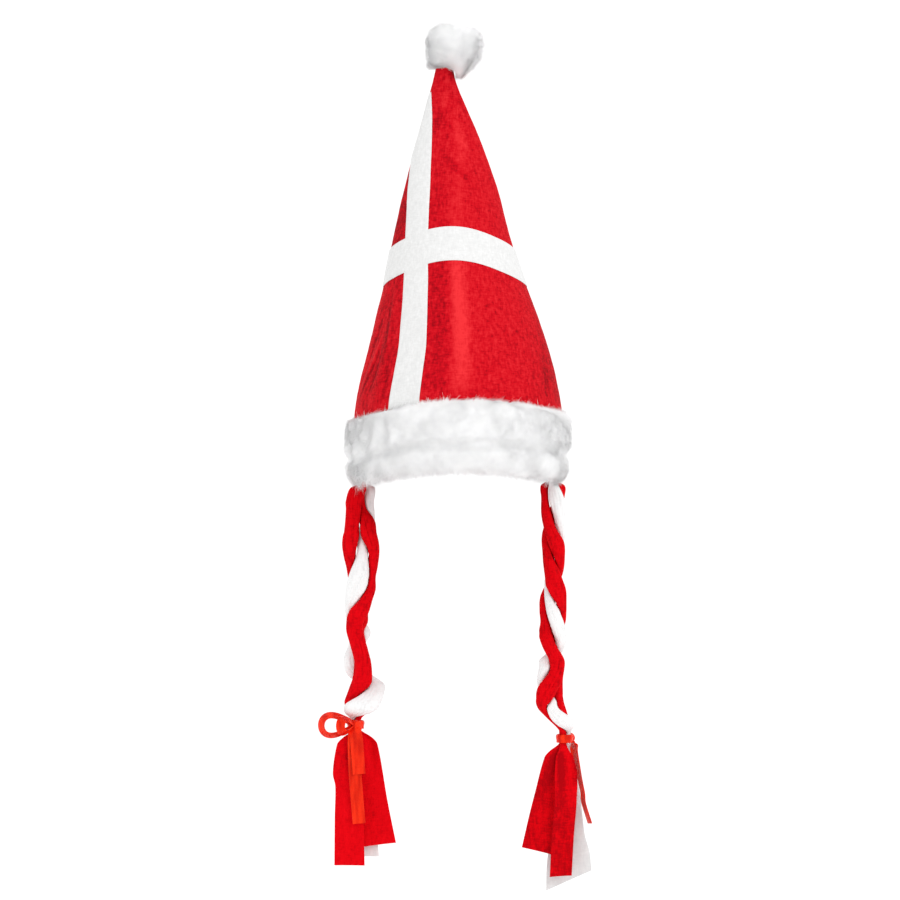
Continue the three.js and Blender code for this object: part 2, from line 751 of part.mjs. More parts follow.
function pompom() {
  const tips = sphereDirections(POMPOM.locks);
  const ball = mergeVertices(barePositions(new THREE.IcosahedronGeometry(1, POMPOM.detail)));
  const place = ball.attributes.position;
  const point = new THREE.Vector3();
  for (let i = 0; i < place.count; i++) {
    point.fromBufferAttribute(place, i).normalize();
    const nearest = Math.min(...tips.map((tip) => tip.angleTo(point)));
    const lock = Math.max(0, 1 - nearest / POMPOM.lockAngle);
    point.multiplyScalar(POMPOM.valley + (1 - POMPOM.valley) * lock);
    point.multiply(POMPOM.half).add(POMPOM.centre);
    place.setXYZ(i, point.x, point.y, point.z);
  }
  return meshOf(solid(ball).subtract(solid(tipPlug())));
}

function barePositions(geometry) {
  geometry.deleteAttribute("normal");
  geometry.deleteAttribute("uv");
  return geometry;
}

function tiePlace(braid) {
  const foot = braid.line[braid.line.length - 1];
  return new THREE.Vector3(foot.across, 0, -foot.down);
}

// The sections of a braid's three strips at one level, across and towards the back of its line.
// Each strip is an oval that swells until it meets its neighbours.
function braidSections(braid, down) {
  const strips = braid.strands.map((strand) => {
    const { across, back, wide, deep } = between(strand.path, "down", down);
    return { middle: new THREE.Vector2(across, back), wide, deep, size: wide + deep };
  });
  return strips.map((strip) => {
    const offsets = STRIP_SECTION.map((_, k) => {
      const angle = ((k - 0.5) / STRIP_SECTION.length) * 2 * Math.PI;
      const direction = new THREE.Vector2(Math.cos(angle), Math.sin(angle));
      let reach = 1 / Math.hypot(direction.x / strip.wide, direction.y / strip.deep);
      for (const other of strips) {
        const away = other.middle.clone().sub(strip.middle);
        const facing = direction.dot(away.clone().normalize());
        if (facing > 0) {
          const share = (away.length() * strip.size) / (strip.size + other.size);
          reach = Math.min(reach, (share - STRAND_GAP / 2) / facing);
        }
      }
      return direction.multiplyScalar(reach);
    });
    return { middle: strip.middle, offsets };
  });
}

function braidRing(braid, index, down) {
  const { middle, offsets } = braidSections(braid, down)[index];
  const line = between(braid.line, "down", down).across;
  return offsets.map(({ x, y }) => new THREE.Vector3(line + middle.x + x, middle.y + y, -down));
}

// The section of an opened strip: flat, or cupped round the tail.
function tailOffset(corner, row) {
  const face = row.face * DEGREE;
  const across = (corner.across * row.width) / 2;
  const through = (corner.through * row.thick) / 2 - row.cup * corner.across ** 2;
  return new THREE.Vector2(across, through).rotateAround(new THREE.Vector2(), face);
}

function tailRings(braid, index) {
  const tie = tiePlace(braid);
  const { middle, offsets } = braidSections(braid, -tie.z)[index];
  const tail = braid.strands[index].tail;
  const bundled = { ...tail[0], across: middle.x, back: middle.y };
  const rows = [{ ...bundled, drop: 0 }, { ...bundled, drop: TIE_FOOT }, ...tail];
  const end = tail[tail.length - 1].drop;
  return Array.from({ length: TAIL_STEPS }, (_, i) => {
    const row = between(rows, "drop", end * ((i + 1) / TAIL_STEPS) ** TAIL_CROWDING);
    const open = THREE.MathUtils.smoothstep(row.drop, TIE_FOOT, TAIL_OPEN);
    return STRIP_SECTION.map((corner, k) => {
      const offset = offsets[k].clone().lerp(tailOffset(corner, row), open);
      const drop = row.drop + row.slant * corner.across;
      return new THREE.Vector3(row.across + offset.x, row.back + offset.y, -drop).add(tie);
    });
  });
}

function strandBody(braid, index) {
  const top = braid.line[0].down;
  const foot = braid.line[braid.line.length - 1].down;
  const levels = [...steps(top, foot, Math.ceil((foot - top) / BRAID_STEP)), foot];
  const rings = levels.map((down) => braidRing(braid, index, down));
  return loft([...rings, ...tailRings(braid, index)], false);
}

// A flat strip along a path, with its width along one direction and then tilted about the path.
function stripBody(path, widthDirection, width, tilt) {
  const rings = path.map((point, i) => {
    const before = path[Math.max(i - 1, 0)];
    const after = path[Math.min(i + 1, path.length - 1)];
    const along = new THREE.Vector3().subVectors(after, before).normalize();
    const level = widthDirection.clone().addScaledVector(along, -widthDirection.dot(along)).normalize();
    const across = level.applyAxisAngle(along, tilt);
    const through = new THREE.Vector3().crossVectors(along, across);
    return RECTANGLE.map(([side, face]) =>
      point
        .clone()
        .addScaledVector(across, (side * width) / 2)
        .addScaledVector(through, (face * RIBBON.thickness) / 2),
    );
  });
  return loft(rings, false);
}

// The ribbon's ring round the tie, about its own middle.
function ribbonRing() {
  const rings = Array.from({ length: RIBBON.ringSides }, (_, i) => {
    const angle = (i / RIBBON.ringSides) * 2 * Math.PI;
    const out = new THREE.Vector3(Math.sin(angle), -Math.cos(angle), 0);
    return RECTANGLE.map(([face, side]) => {
      const point = out.clone().multiplyScalar(RIBBON.ringRadius + (face * RIBBON.thickness) / 2);
      point.z = (side * RIBBON.ringHeight) / 2;
      return point;
    });
  });
  return loft(rings, true);
}

function ribbonKnot() {
  const ball = barePositions(new THREE.SphereGeometry(1, RIBBON.knotSides, RIBBON.knotRows));
  ball.scale(RIBBON.knotHalf.x, RIBBON.knotHalf.y, RIBBON.knotHalf.z);
  return ball.translate(0, -RIBBON.knotOut, 0);
}

// A teardrop loop that leaves the knot sideways and comes back to it.
function ribbonLoop(loop, side) {
  const swing = loop.swing * DEGREE;
  const path = Array.from({ length: RIBBON.loopSteps + 1 }, (_, i) => {
    const turn = THREE.MathUtils.lerp(RIBBON.loopStart, 1 - RIBBON.loopStart, i / RIBBON.loopSteps);
    const reach = loop.length * Math.sin(Math.PI * turn);
    const up = loop.halfHeight * Math.sin(2 * Math.PI * turn);
    return new THREE.Vector3(side * reach * Math.cos(swing), -RIBBON.knotOut - reach * Math.sin(swing), up);
  });
  const depth = new THREE.Vector3(side * Math.sin(swing), Math.cos(swing), 0);
  return stripBody(path, depth, RIBBON.loopWidth, side * RIBBON.loopTilt);
}

// A tail of the ribbon, with its width turned from the tie's side.
function ribbonTail(rows, turn) {
  const points = rows.map((row) => new THREE.Vector3(row.across, -row.out, -row.drop));
  const path = new THREE.CatmullRomCurve3(points).getPoints(RIBBON.tailSteps);
  return stripBody(path, new THREE.Vector3(Math.cos(turn), Math.sin(turn), 0), RIBBON.tailWidth, 0);
}

function ribbon(braid) {
  const pieces = [
    ribbonKnot(),
    ...braid.ribbon.loops.map((loop) => ribbonLoop(loop, braid.ribbon.loopSide)),
    ribbonTail(braid.ribbon.longTail, braid.ribbon.longTurn * DEGREE),
    ribbonTail(braid.ribbon.shortTail, 0),
  ];
  const fused = pieces.reduce((body, piece) => body.add(solid(piece)), solid(ribbonRing()));
  const geometry = meshOf(fused);
  geometry.rotateZ(braid.ribbon.facing * DEGREE);
  return geometry.translate(...tiePlace(braid).toArray());
}

const hat = new THREE.Group();
hat.name = "hat";

function addPiece(name, geometry, material) {
  const mesh = new THREE.Mesh(geometry, material);
  mesh.name = name;
  hat.add(mesh);
}

addPiece("crown_front", crownPanel(0, FRONT_COLUMNS), MATERIALS.redFelt);
addPiece("crown_back", crownPanel(Math.PI, BACK_COLUMNS), MATERIALS.redFelt);
addPiece("cross", cross(), MATERIALS.whiteFelt);
addPiece("band", band(), MATERIALS.whitePlush);
addPiece("pompom", pompom(), MATERIALS.whitePlush);
for (const braid of BRAIDS) {
  braid.strands.forEach((strand, index) => {
    const material = strand.name === "white" ? MATERIALS.whiteFelt : MATERIALS.braidFelt;
    addPiece(`${braid.name}_braid_${strand.name}`, strandBody(braid, index), material);
  });
  addPiece(`${braid.name}_ribbon`, ribbon(braid), MATERIALS.redSatin);
}

export default hat;
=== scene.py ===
# The looks of a pointed felt hat with a white cross, a plush band, a fluffy pompom and two braids.
# Lengths are in millimetres until a mesh is made. +Z is up, +X to the right as seen from the front
# and -Y the front. The origin is the middle of the rim, where the head goes in.

import math

import bpy
import numpy as np
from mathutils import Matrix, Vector
from mathutils.kdtree import KDTree


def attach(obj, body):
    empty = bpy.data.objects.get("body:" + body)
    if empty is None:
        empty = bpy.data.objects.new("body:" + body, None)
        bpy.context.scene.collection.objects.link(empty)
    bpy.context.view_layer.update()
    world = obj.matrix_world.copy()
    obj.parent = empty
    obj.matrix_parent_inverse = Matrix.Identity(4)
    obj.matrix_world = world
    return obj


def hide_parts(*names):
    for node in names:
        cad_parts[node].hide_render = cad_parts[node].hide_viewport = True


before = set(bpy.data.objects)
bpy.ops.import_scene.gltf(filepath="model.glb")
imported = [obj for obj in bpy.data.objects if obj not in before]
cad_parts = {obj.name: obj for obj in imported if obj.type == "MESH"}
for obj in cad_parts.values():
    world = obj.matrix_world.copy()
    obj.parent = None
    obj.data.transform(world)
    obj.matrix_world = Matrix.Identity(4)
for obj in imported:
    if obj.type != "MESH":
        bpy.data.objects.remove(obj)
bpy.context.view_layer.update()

MM = 0.001
SHARP_ANGLE = 50  # degrees from which an edge is shaded as sharp
SMALL = 1e-3  # a step or a share that is next to nothing
WAVES = {"count": 14, "pace": (0.6, 1.5)}  # sine waves that smooth noise adds up, from slow to quick
SEEDS = {
    "felt": 0, "strand_creases": 60, "gathers": 70,
    "band_roots": 5, "band_pile": 6, "band_lumps": 20, "band_lean": 31,
    "pompom_pile": 8, "pompom_lumps": 40, "pompom_swirl": 50,
}


def table(columns, *rows):
    """One array for each named column."""
    return dict(zip(columns.split(), np.array(rows, float).T))


# View: the photo's scale at the hat's middle, and the pixel where the origin lies.
PHOTO_SIDE = 900
PIXEL = 0.79
ORIGIN_PIXEL = (457, 475)
CAMERA_DISTANCE = 2900
SENSOR = 36
FLOOR_HEIGHT = -352
FLOOR_RADIUS = 1500
FLOOR_SIDES = 96
FLOOR_FADE = 0.25  # share of the radius from which the floor fades out
FLOOR_WHITE = (0.97, 0.97, 0.97, 1)
WORLD_LIGHT = 1.12
LIGHTS = (  # name, place in metres, size in metres and power in watts
    ("key", (1.2, -2.1, 0.9), 0.9, 10),
    ("top", (0.2, -0.4, 2.4), 1.6, 7),
    ("back", (-0.6, 2.2, 1.2), 1.4, 6),
)
LIT_PLACE = (0, 0, 0.05)
DIFFUSE_BOUNCES = 8  # light goes many times from fibre to fibre in white pile

# Crown: one row for each level section from the rim to the tip.
FELT = 1.8
SEAM_GAP = 0.02
SEAM_DIP = 0.9  # how far the panels turn in at their seams
SEAM_WIDTH = 2.4  # degrees over which they do
PANEL_COLUMNS = 150
PANEL_ROWS = 190
TIP_HEIGHT = 325
CROWN_SECTIONS = table(
    "height half_width half_depth shift back seam",
    (-8, 78.5, 97, 0, 0, 0),
    (26, 80.5, 99, 0.4, 0, 0),
    (54, 81.5, 97, 0.8, 0, 0.02),
    (104, 70, 80, 1, 1, 0.06),
    (151, 56, 62, -1.7, 2, 0.12),
    (182, 48, 49, -4, 3, 0.2),
    (224, 38, 33, -5, 4, 0.3),
    (269, 23.5, 17, -7, 6, 0.3),
    (309, 9.9, 7, -10, 7, 0.2),
    (325, 6, 5, -10, 7, 0),
)

# Folds of the felt: azimuth in degrees from the front, slant in degrees for each millimetre of height,
# width in degrees, reach and rise in millimetres. A rise below 0 is a dent.
FOLDS = table(
    "azimuth height slant width reach rise",
    (-52, 95, -0.06, 5, 42, 1.5),
    (-61, 92, 0.06, 5, 40, -1.6),
    (-74, 88, 0.22, 6, 34, -1.4),
    (4, 170, 0, 18, 110, 1),
    (-12, 238, 0, 14, 26, -1.4),
    (42, 250, -0.3, 14, 26, -1.2),
    (148, 130, 0.12, 13, 60, -1.6),
    (-142, 150, -0.1, 13, 60, -1.4),
)
CREASES = table(
    "azimuth height slant width reach rise",
    (1, 130, 0, 5, 60, 1),
    (-55, 118, -0.1, 1.6, 26, -0.7),
    (-58, 84, 0.12, 1.5, 18, -0.8),
    (-64, 96, 0.2, 1.5, 22, 0.7),
    (-67, 76, 0.3, 1.4, 16, -0.8),
    (-71, 104, 0.26, 1.6, 24, -0.7),
    (-78, 84, 0.3, 1.8, 22, 0.6),
    (-46, 74, -0.1, 1.6, 14, -0.6),
    (-20, 282, 0.5, 9, 8, -0.7),
    (10, 240, -1.2, 7, 10, -0.7),
    (-4, 296, 0.8, 10, 6, 0.6),
    (24, 262, -0.9, 8, 9, 0.5),
    (62, 76, 0.2, 3, 18, -0.5),
    (118, 92, 0.2, 3, 26, -0.6),
    (170, 104, -0.1, 3, 30, 0.6),
    (-118, 84, -0.2, 3, 24, -0.6),
    (-164, 210, 0.1, 6, 30, -0.7),
)
# Nap and painted light: where the felt is painted lighter, or darker below 0. Along the crease at the front
# lies a painted highlight with painted shade beside it; the patches on the sides and back are partly nap and
# partly painted shade.
FELT_NAP_AND_SHADE = table(
    "azimuth height slant width reach shade",
    (4, 120, 0.06, 7, 95, 0.095),
    (18, 256, 0.26, 11, 34, 0.09),
    (-11, 120, 0, 8, 110, -0.08),
    (78, 84, 0, 16, 80, -0.1),
    (52, 70, 0.1, 6, 60, -0.03),
    (-62, 90, 0, 20, 60, -0.07),
    (-72, 200, 0, 30, 46, -0.14),
    (150, 150, 0, 30, 90, 0.08),
    (-150, 120, 0, 24, 80, -0.1),
)
# Painted highlight on a crease that rises and painted shade in a crease that dips.
CREASE_SHADE = 0.22  # how much lighter a crease is for each millimetre that it rises
FOLD_FADE = 12
FELT_WAVES = ((46, 0.5), (15, 0.16), (5, 0.05))  # size and height of the felt's own unevenness

# Cross: sizes on the flat front panel, a sector whose point is at the crown's apex.
APEX_HEIGHT = 330
PANEL_SLANT = 0.96
PANEL_HALF_ANGLE = math.radians(26.6)
PANEL_FLATNESS = {"share": 0.99, "power": 6}  # how evenly the width is spread, but for the seams
CROSS = {
    "lift": 0.15,
    "thickness": 0.75,
    "edge_round": 0.7,
    "edge_share": 0.35,  # of the thickness, at its cut edges
    "stripe_width": 13.2,
    "stripe_growth": 0.081,
    "stripe_start": 14,
    "stripe_drift": 0.172,
    "bend_start": 238,
    "stripe_bend": 0.085,
    "stripe_top": 26,
    "bar_top": 141.7,
    "bar_bottom": 169.9,
    "seam_margin": 0.8,
    "band_margin": 0.3,
}
CROSS_STEPS = {"side": 24, "stripe": 24, "far_side": 64, "above": 84, "bar": 26, "below": 90}

# Band: heights of its edges, its section from the top edge over the outside to the bottom edge.
BAND_TOP = {"front": 57.5, "drop": 12.5, "lean": 3}
BAND_BOTTOM = {"front": 4, "drop": 9, "lean": 1.3}
HEM = 6
HEM_ROUND = 1.5
WALL_GAP = 0.6
BAND_STEPS = 360
BAND_PROFILE = table(
    "along rise out",
    (0, 1, 1.6),
    (0.06, 0.985, 4.6),
    (0.15, 0.9, 7.2),
    (0.3, 0.72, 8.6),
    (0.48, 0.5, 8.2),
    (0.58, 0.38, 5.2),
    (0.68, 0.26, 8.4),
    (0.84, 0.1, 7.8),
    (0.94, 0.02, 4.8),
    (1, 0, 0.8),
)
BAND_ROWS = 36
BAND_WALL_RISES = (0.2, 0.36, 0.58, 0.78, 0.95)
BAND_PILE = {
    "depth": 1.4, "length": 3.8, "width": 0.42, "stand": 0.5,
    "count": 80000, "clumps": 2600, "drawn": 0.2,
}
BAND_EDGE = {"share": 0.12, "growth": 0.75}  # part of the profile near an edge, and how much its pile grows
BRAID_TUFTS = {"width": 32, "growth": 1.3}  # longer pile over the tops of the braids, width in degrees
BAND_ROOTS = (0.01, 0.99)  # the part of the profile that carries pile
BAND_LEAN = {"size": 16, "turn": 0.5}  # patches of pile that lie one way, and their half turns
BAND_LUMPS = ((24, 0.9), (9, 0.5))  # size and height
LUMPS_FULL = 5  # distance from the wall at which the lumps have their full height

# Pile: shares of a fibre's length and width, how far fibres stray, and how they are made and shaded.
PILE_LENGTHS = (0.6, 1.4)
PILE_FEW_LONG = 3  # above 1, the longest fibres are fewer
PILE_WIDTHS = (0.6, 1.3)
PILE_STRAY = 0.3
FIBRE = {"depth": 0.03, "blend": 1}

# Pompom: a soft ball of fibres, flatter at the upper right and fuller at the left. Its outline is as
# seen from the front, with angles in degrees from the right.
POMPOM_CENTRE = np.array((-2, 7, 338.2))
POMPOM_HALF = np.array((22.6, 21, 20.8))
POMPOM_PILE = {
    "depth": 2.4, "length": 5.2, "width": 0.4, "stand": 0.45,
    "count": 60000, "clumps": 420, "drawn": 0.3,
}
POMPOM_OUTLINE = table(
    "angle reach",
    (-60, 22.4),
    (-45, 21.2),
    (-11, 21.8),
    (1, 22.8),
    (30, 21.8),
    (53, 18),
    (91, 17.4),
    (107, 19.8),
    (128, 24),
    (172, 23.4),
    (197, 23.4),
    (215, 25.6),
    (227, 26.4),
    (240, 22),
    (268, 18.5),
    (280, 25.4),
    (300, 22.4),
)
POMPOM_LUMPS = ((16, 0.04), (8, 0.02))  # size, and height as a share of the ball
POMPOM_SWIRL = 12  # size of the patches of pile that lie one way
POMPOM_SPLITS = 5
POMPOM_CORE = 1 - POMPOM_PILE["depth"] / POMPOM_HALF.mean()  # share of the ball under the pile
TIP_CLEARANCE = 0.5
TIP_SHARES = np.linspace(1, 0.3, 36)  # shares of its reach that the ball is drawn in to, clear of the tip

# Braids: three folded strips each, hung inside the rim and tied at the foot. A strip's path gives its
# middle from the braid's line and its half sizes, with a row for each crossing. Its tail hangs from the tie.
STRIP_SIDES = 64
STRIP_SQUARENESS = 0.45
BRAID_ROW = 1.1  # height of one row of faces
STRAND_GAP = 0.5
STRAND_ROUNDNESS = 9
STRAND_CREASES = ((5, 0.1), (2.6, 0.05))  # size, and depth as a share of the strip's radius
CREASE_SHARPNESS = 1.6
CREASE_ROLL = {"radius": 8, "stretch": 5}  # a roll that the creases lie on, and how long they are
# Ripples that run down a tail from its tie, and the painted light and shade that follow them
GATHERS = {"size": 5, "stretch": 8, "height": 1.3, "fade": (16, 70), "nap_and_shade": 0.15, "shade_fade": (20, 105)}
# How much lighter, or darker below 0, the tails of each side are painted.
TAIL_LIGHTNESS = {"left": 0.02, "right": -0.12}
# Painted shade of a strip in the braid, where others press on it and in its creases, and painted light that
# makes the white ones lighter where they are plaited
STRAND_SHADE = {"pressed": -0.22, "crease": -0.06, "white": 0.26}
STRAND_PRESSED = (0.02, 0.35)  # share of its radius that a strip gives way before and after it darkens
TIE_FOOT = 4
TAIL_OPEN = 15
PATH_COLUMNS = "down across back wide deep"
TAIL_COLUMNS = "drop across back width thick cup face slant"
LINES = {}
PATHS = {}
TAILS = {}
BOWS = {}
LINES["left"] = table(
    "down across",
    (-10.7, -74.3),
    (6.6, -74.3),
    (12, -75),
    (22, -76),
    (58, -75.8),
    (100, -77.4),
    (150, -77.8),
    (197, -80),
)
PATHS["left", "white"] = table(
    PATH_COLUMNS,
    (-10.7, 0, 7.5, 2.1, 3.5),
    (6.6, 0.3, 7, 2.1, 3.5),
    (9.8, 5, 5.5, 4.6, 5),
    (22, 5.5, 4.5, 5, 6),
    (36, 5.5, 4.5, 5.6, 6),
    (50, 3, 2, 7, 6),
    (66, 1.4, -4.5, 6.6, 6),
    (84, -0.4, -6.5, 9.6, 6),
    (97, -2.5, -5, 8.6, 6),
    (107, -5, -0.5, 6, 6),
    (115, -3, 4.5, 7, 5.5),
    (124, 2.5, 6, 7, 5.5),
    (133, -1, 6, 7, 5.5),
    (142, -5, 5.5, 6.8, 5.5),
    (151, -4.6, 5.8, 7.2, 5.5),
    (159, 2, 6.6, 11, 5),
    (166, 11, 2.5, 10.5, 6.5),
    (173, 10, -4.5, 11, 6.5),
    (180, 5, -8.5, 14, 6.5),
    (187, 2, -7, 11.5, 6),
    (192, -2.6, -0.5, 2.6, 2.6),
    (197, -2.6, -0.5, 2.6, 2.6),
)
TAILS["left", "white"] = table(
    TAIL_COLUMNS,
    (10, -2, 5, 9, 3, 0, 20, 0),
    (26, 0, 7, 15, 2.6, 0, 10, 0),
    (60, 4.5, 7.5, 19, 2.4, 1, 4, 0),
    (105, 7.5, 7.5, 21.6, 2.4, 1, 0, 0),
)
PATHS["left", "red_a"] = table(
    PATH_COLUMNS,
    (-10.7, 0, -7.5, 2.1, 3.5),
    (6.6, 0.3, -7, 2.1, 3.5),
    (9.8, -2.8, -5, 6.4, 5),
    (20, -5, -4.5, 7, 5.5),
    (27, -5.4, -4, 6.4, 5.5),
    (38, -5.6, -4, 7, 6),
    (54, -8.4, -3, 6.6, 6.5),
    (66, -8.2, -1.5, 5, 6),
    (74, -6, 2, 5, 6),
    (92, -1, 6, 7, 6),
    (107, 1, 3.5, 6.5, 5),
    (116, 1.5, -0.5, 6, 5),
    (124, -1, -0.2, 5.5, 5),
    (134, 0.5, 0, 5.8, 5),
    (146, 3, 0, 6.5, 5),
    (160, 3.5, -0.6, 7.5, 5),
    (168, 5, 1.9, 8, 5),
    (174, 5.5, 3.7, 8, 5),
    (180, 4, 4.2, 7, 5.5),
    (187, 4.2, 2, 5.5, 5),
    (192, 1.8, -2, 2.6, 2.6),
    (197, 1.8, -2, 2.6, 2.6),
)
TAILS["left", "red_a"] = table(
    TAIL_COLUMNS,
    (9, -4.5, -6, 14, 3, 1, -8, 0),
    (18, -6, -6.5, 18, 2.6, 1.5, -8, 0),
    (38, -6.5, -7, 22.5, 2.4, 1.5, -6, 0),
    (48, -5.6, -7, 20.5, 2.4, 1.5, -4, 0),
    (72, -5, -6.5, 22.6, 2.4, 1.5, -4, 0),
    (110.5, -4.6, -6.5, 24, 2.4, 1.5, -4, 0),
)
PATHS["left", "red_b"] = table(
    PATH_COLUMNS,
    (-10.7, 0, 0, 2.1, 3.5),
    (6.6, 0.3, 0, 2.1, 3.5),
    (9.8, -3, 1, 5, 5),
    (26, 0, 2, 6.5, 5.5),
    (34, 3, -1.5, 7.6, 6),
    (44, 5.2, -4.5, 7.8, 6),
    (58, 9.4, -4, 5.4, 6.5),
    (72, 9.4, -2.5, 4.4, 6),
    (81, 9.2, -2, 3.4, 5.5),
    (90, 8.4, -4, 4.6, 6),
    (98, 5, -7, 6, 6),
    (107, 0.4, -8, 8.5, 6),
    (115, -2.4, -7, 7.4, 6),
    (124, -2.6, -6, 7, 6),
    (134, 0, -6, 6.7, 6),
    (146, 3, -6, 6.8, 6),
    (160, 3.5, -6, 7.8, 6),
    (168, 1.5, -4, 8.5, 6),
    (174, -1.5, 0, 7.5, 6),
    (180, -3.5, 3.5, 7, 5.5),
    (187, -2, 4.5, 5.5, 5),
    (192, 0.8, 2.5, 2.6, 2.6),
    (197, 0.8, 2.5, 2.6, 2.6),
)
TAILS["left", "red_b"] = table(
    TAIL_COLUMNS,
    (10, 7, 0.5, 15.5, 3, 1, 6, 0),
    (22, 9, 0.5, 19, 2.6, 1.5, 6, 0),
    (60, 13, 1, 24, 2.4, 1.5, 4, 0),
    (95, 18.5, 1, 26.5, 2.4, 1.5, 4, -1.5),
)
BOWS["left"] = {
    "facing": 0,
    "loop_side": -1,
    "loops": ((27, 8, 6), (15.5, 5.5, 42)),  # length, half height and swing of each
    "long_turn": 0,
    "long_tail": ((0, 8.5, 2), (-1, 12, 12), (0, 13, 40), (3, 13, 77)),
    "short_tail": ((-1, 9, 2), (1, 14, 12), (3, 15, 38)),
}
LINES["right"] = table(
    "down across",
    (-10.7, 75),
    (4, 75),
    (10, 75.6),
    (22, 75.8),
    (115, 75.8),
    (150, 74.5),
    (175, 74),
    (190, 80.5),
    (200, 84.5),
    (208, 85),
)
PATHS["right", "white"] = table(
    PATH_COLUMNS,
    (-10.7, 0, -7.5, 2.1, 3.5),
    (4, -0.3, -7, 2.1, 3.5),
    (8, 0.6, -6, 3.8, 5),
    (20, 2.8, -5.5, 6.4, 6),
    (34, 5, -3.5, 5, 6),
    (46, 5.5, 0.5, 4.5, 6),
    (54, 3, 3.5, 5.5, 5.5),
    (66, -3, 5, 5, 5.5),
    (78, -2.5, 4.2, 4, 5.5),
    (87, -3, 0.2, 4, 5.5),
    (98, -1.8, -3, 5, 5.5),
    (109, 0.5, -6, 5.6, 5.5),
    (123, 4.8, -5, 5.8, 6),
    (132, 6.5, -1.5, 4.6, 6),
    (140, 2.5, 1.6, 6, 5),
    (146, -3.5, 1, 6, 5),
    (152, -4, -1.5, 5.8, 6),
    (160, -6, 0, 4.8, 6),
    (168, -4, 2, 5.5, 5.5),
    (177, -1, -2, 5, 6),
    (184, -2.5, -5.5, 5.2, 6),
    (193, 1, -6.5, 9, 6),
    (198, 2, -5, 6.5, 5.5),
    (203, 2.5, 0.4, 2.6, 2.6),
    (208, 2.5, 0.4, 2.6, 2.6),
)
TAILS["right", "white"] = table(
    TAIL_COLUMNS,
    (10, 1.2, 6.4, 8, 3, 0, 4, 0),
    (30, 2.6, 8.4, 15, 2.6, 0, 0, 0),
    (50, 3, 8, 20.5, 2.4, 1, -2, 0),
    (76, 3, 7, 26.5, 2.4, 1, -2, 0),
    (95, 3.2, 7, 34, 2.4, 1, 0, -4),
    (113, 3.5, 7, 36, 2.4, 1, 0, -8),
)
PATHS["right", "red_a"] = table(
    PATH_COLUMNS,
    (-10.7, 0, 0, 2.1, 3.5),
    (4, -0.8, 0, 2.1, 3.5),
    (8, -6, -0.5, 3.2, 5),
    (18, -6.4, -1, 3, 5.5),
    (31, -5.2, -3.5, 4.2, 6),
    (43, -2, -5, 5.2, 6),
    (53, 2.2, -6, 6.4, 6),
    (66, 4.2, -3, 5, 6),
    (78, 3.4, 3, 4.4, 6),
    (88, -1.5, 6.5, 5, 5.5),
    (97, -5.5, 4.2, 4.8, 5.5),
    (108, -6.5, 1, 4.2, 5.5),
    (116, -6, -1, 4, 5.5),
    (126, -5.5, -3.5, 5.6, 6),
    (136, -1.5, -5.5, 6, 5.5),
    (146, 4, -5.5, 6.3, 6),
    (155, 4, -5.5, 6.5, 6),
    (165, 0, -7, 9, 6),
    (176, -5, -6, 7.5, 6),
    (184, -8, -3, 6, 6),
    (190, -7, 0, 4.6, 5.5),
    (196, -3.5, -0.5, 4.5, 5),
    (203, -1.1, -2.4, 2.6, 2.6),
    (208, -1.1, -2.4, 2.6, 2.6),
)
TAILS["right", "red_a"] = table(
    TAIL_COLUMNS,
    (10, -0.5, -5.5, 12.5, 3, 1, 0, 0),
    (26, 0.8, -6.5, 17.5, 2.6, 1.5, 2, 0),
    (50, 0.4, -6.8, 17.5, 2.4, 1.5, 4, 0),
    (76, -1.7, -6.5, 17.5, 2.4, 1.5, 4, 0),
    (108, -3.4, -6.5, 17.4, 2.4, 1.5, 4, -0.5),
)
PATHS["right", "red_b"] = table(
    PATH_COLUMNS,
    (-10.7, 0, 7.5, 2.1, 3.5),
    (4, -0.3, 7, 2.1, 3.5),
    (8, 5, 5, 4.6, 5),
    (17, 5, 4.5, 4.4, 5.5),
    (32, 1, 5, 5.5, 5.5),
    (48, -3.5, 3.5, 5.5, 5.5),
    (62, -3.6, -1.5, 5, 6),
    (72, -2, -4.5, 6, 6),
    (81, 0, -6, 7, 6),
    (90, 2, -6.5, 8, 6),
    (99, 5, -5, 5.6, 6),
    (108, 6.3, -1, 4.4, 6),
    (118, 4.5, 3.5, 5.5, 5.5),
    (132, -1, 6.5, 6.2, 4.8),
    (141, 1.5, 9, 6, 4.6),
    (150, 5, 5, 5.6, 5),
    (160, 5, 0.5, 5, 6),
    (174, 5, 0.5, 5, 6),
    (186, 2.5, 3.5, 5.5, 5.5),
    (196, 0.5, 4, 5, 5),
    (203, -1.6, 2.1, 2.6, 2.6),
    (208, -1.6, 2.1, 2.6, 2.6),
)
TAILS["right", "red_b"] = table(
    TAIL_COLUMNS,
    (10, -6.5, 0.5, 14.5, 3, 1, -6, 0),
    (22, -9, 0, 18, 2.6, 1.5, -6, 0),
    (40, -12.4, 0, 20.5, 2.4, 1.5, -4, 0),
    (60, -16, 0, 23, 2.4, 1.5, -4, 1),
    (89, -21, 0, 25.5, 2.4, 1.5, -4, 3),
)
BOWS["right"] = {
    "facing": 150,
    "loop_side": 1,
    "loops": (),
    "long_turn": -40,
    "long_tail": (
        (0, 8, 2),
        (-6.2, 5.3, 7),
        (-8.3, 3.2, 12),
        (-11.6, 3.7, 31),
        (-13.6, 4.8, 43),
        (-14.3, 5.2, 51),
        (-18.6, 7.7, 67),
    ),
    "short_tail": ((0.5, 8.4, 2), (2, 14, 12), (2.5, 16, 34)),
}
STRANDS = ("white", "red_a", "red_b")

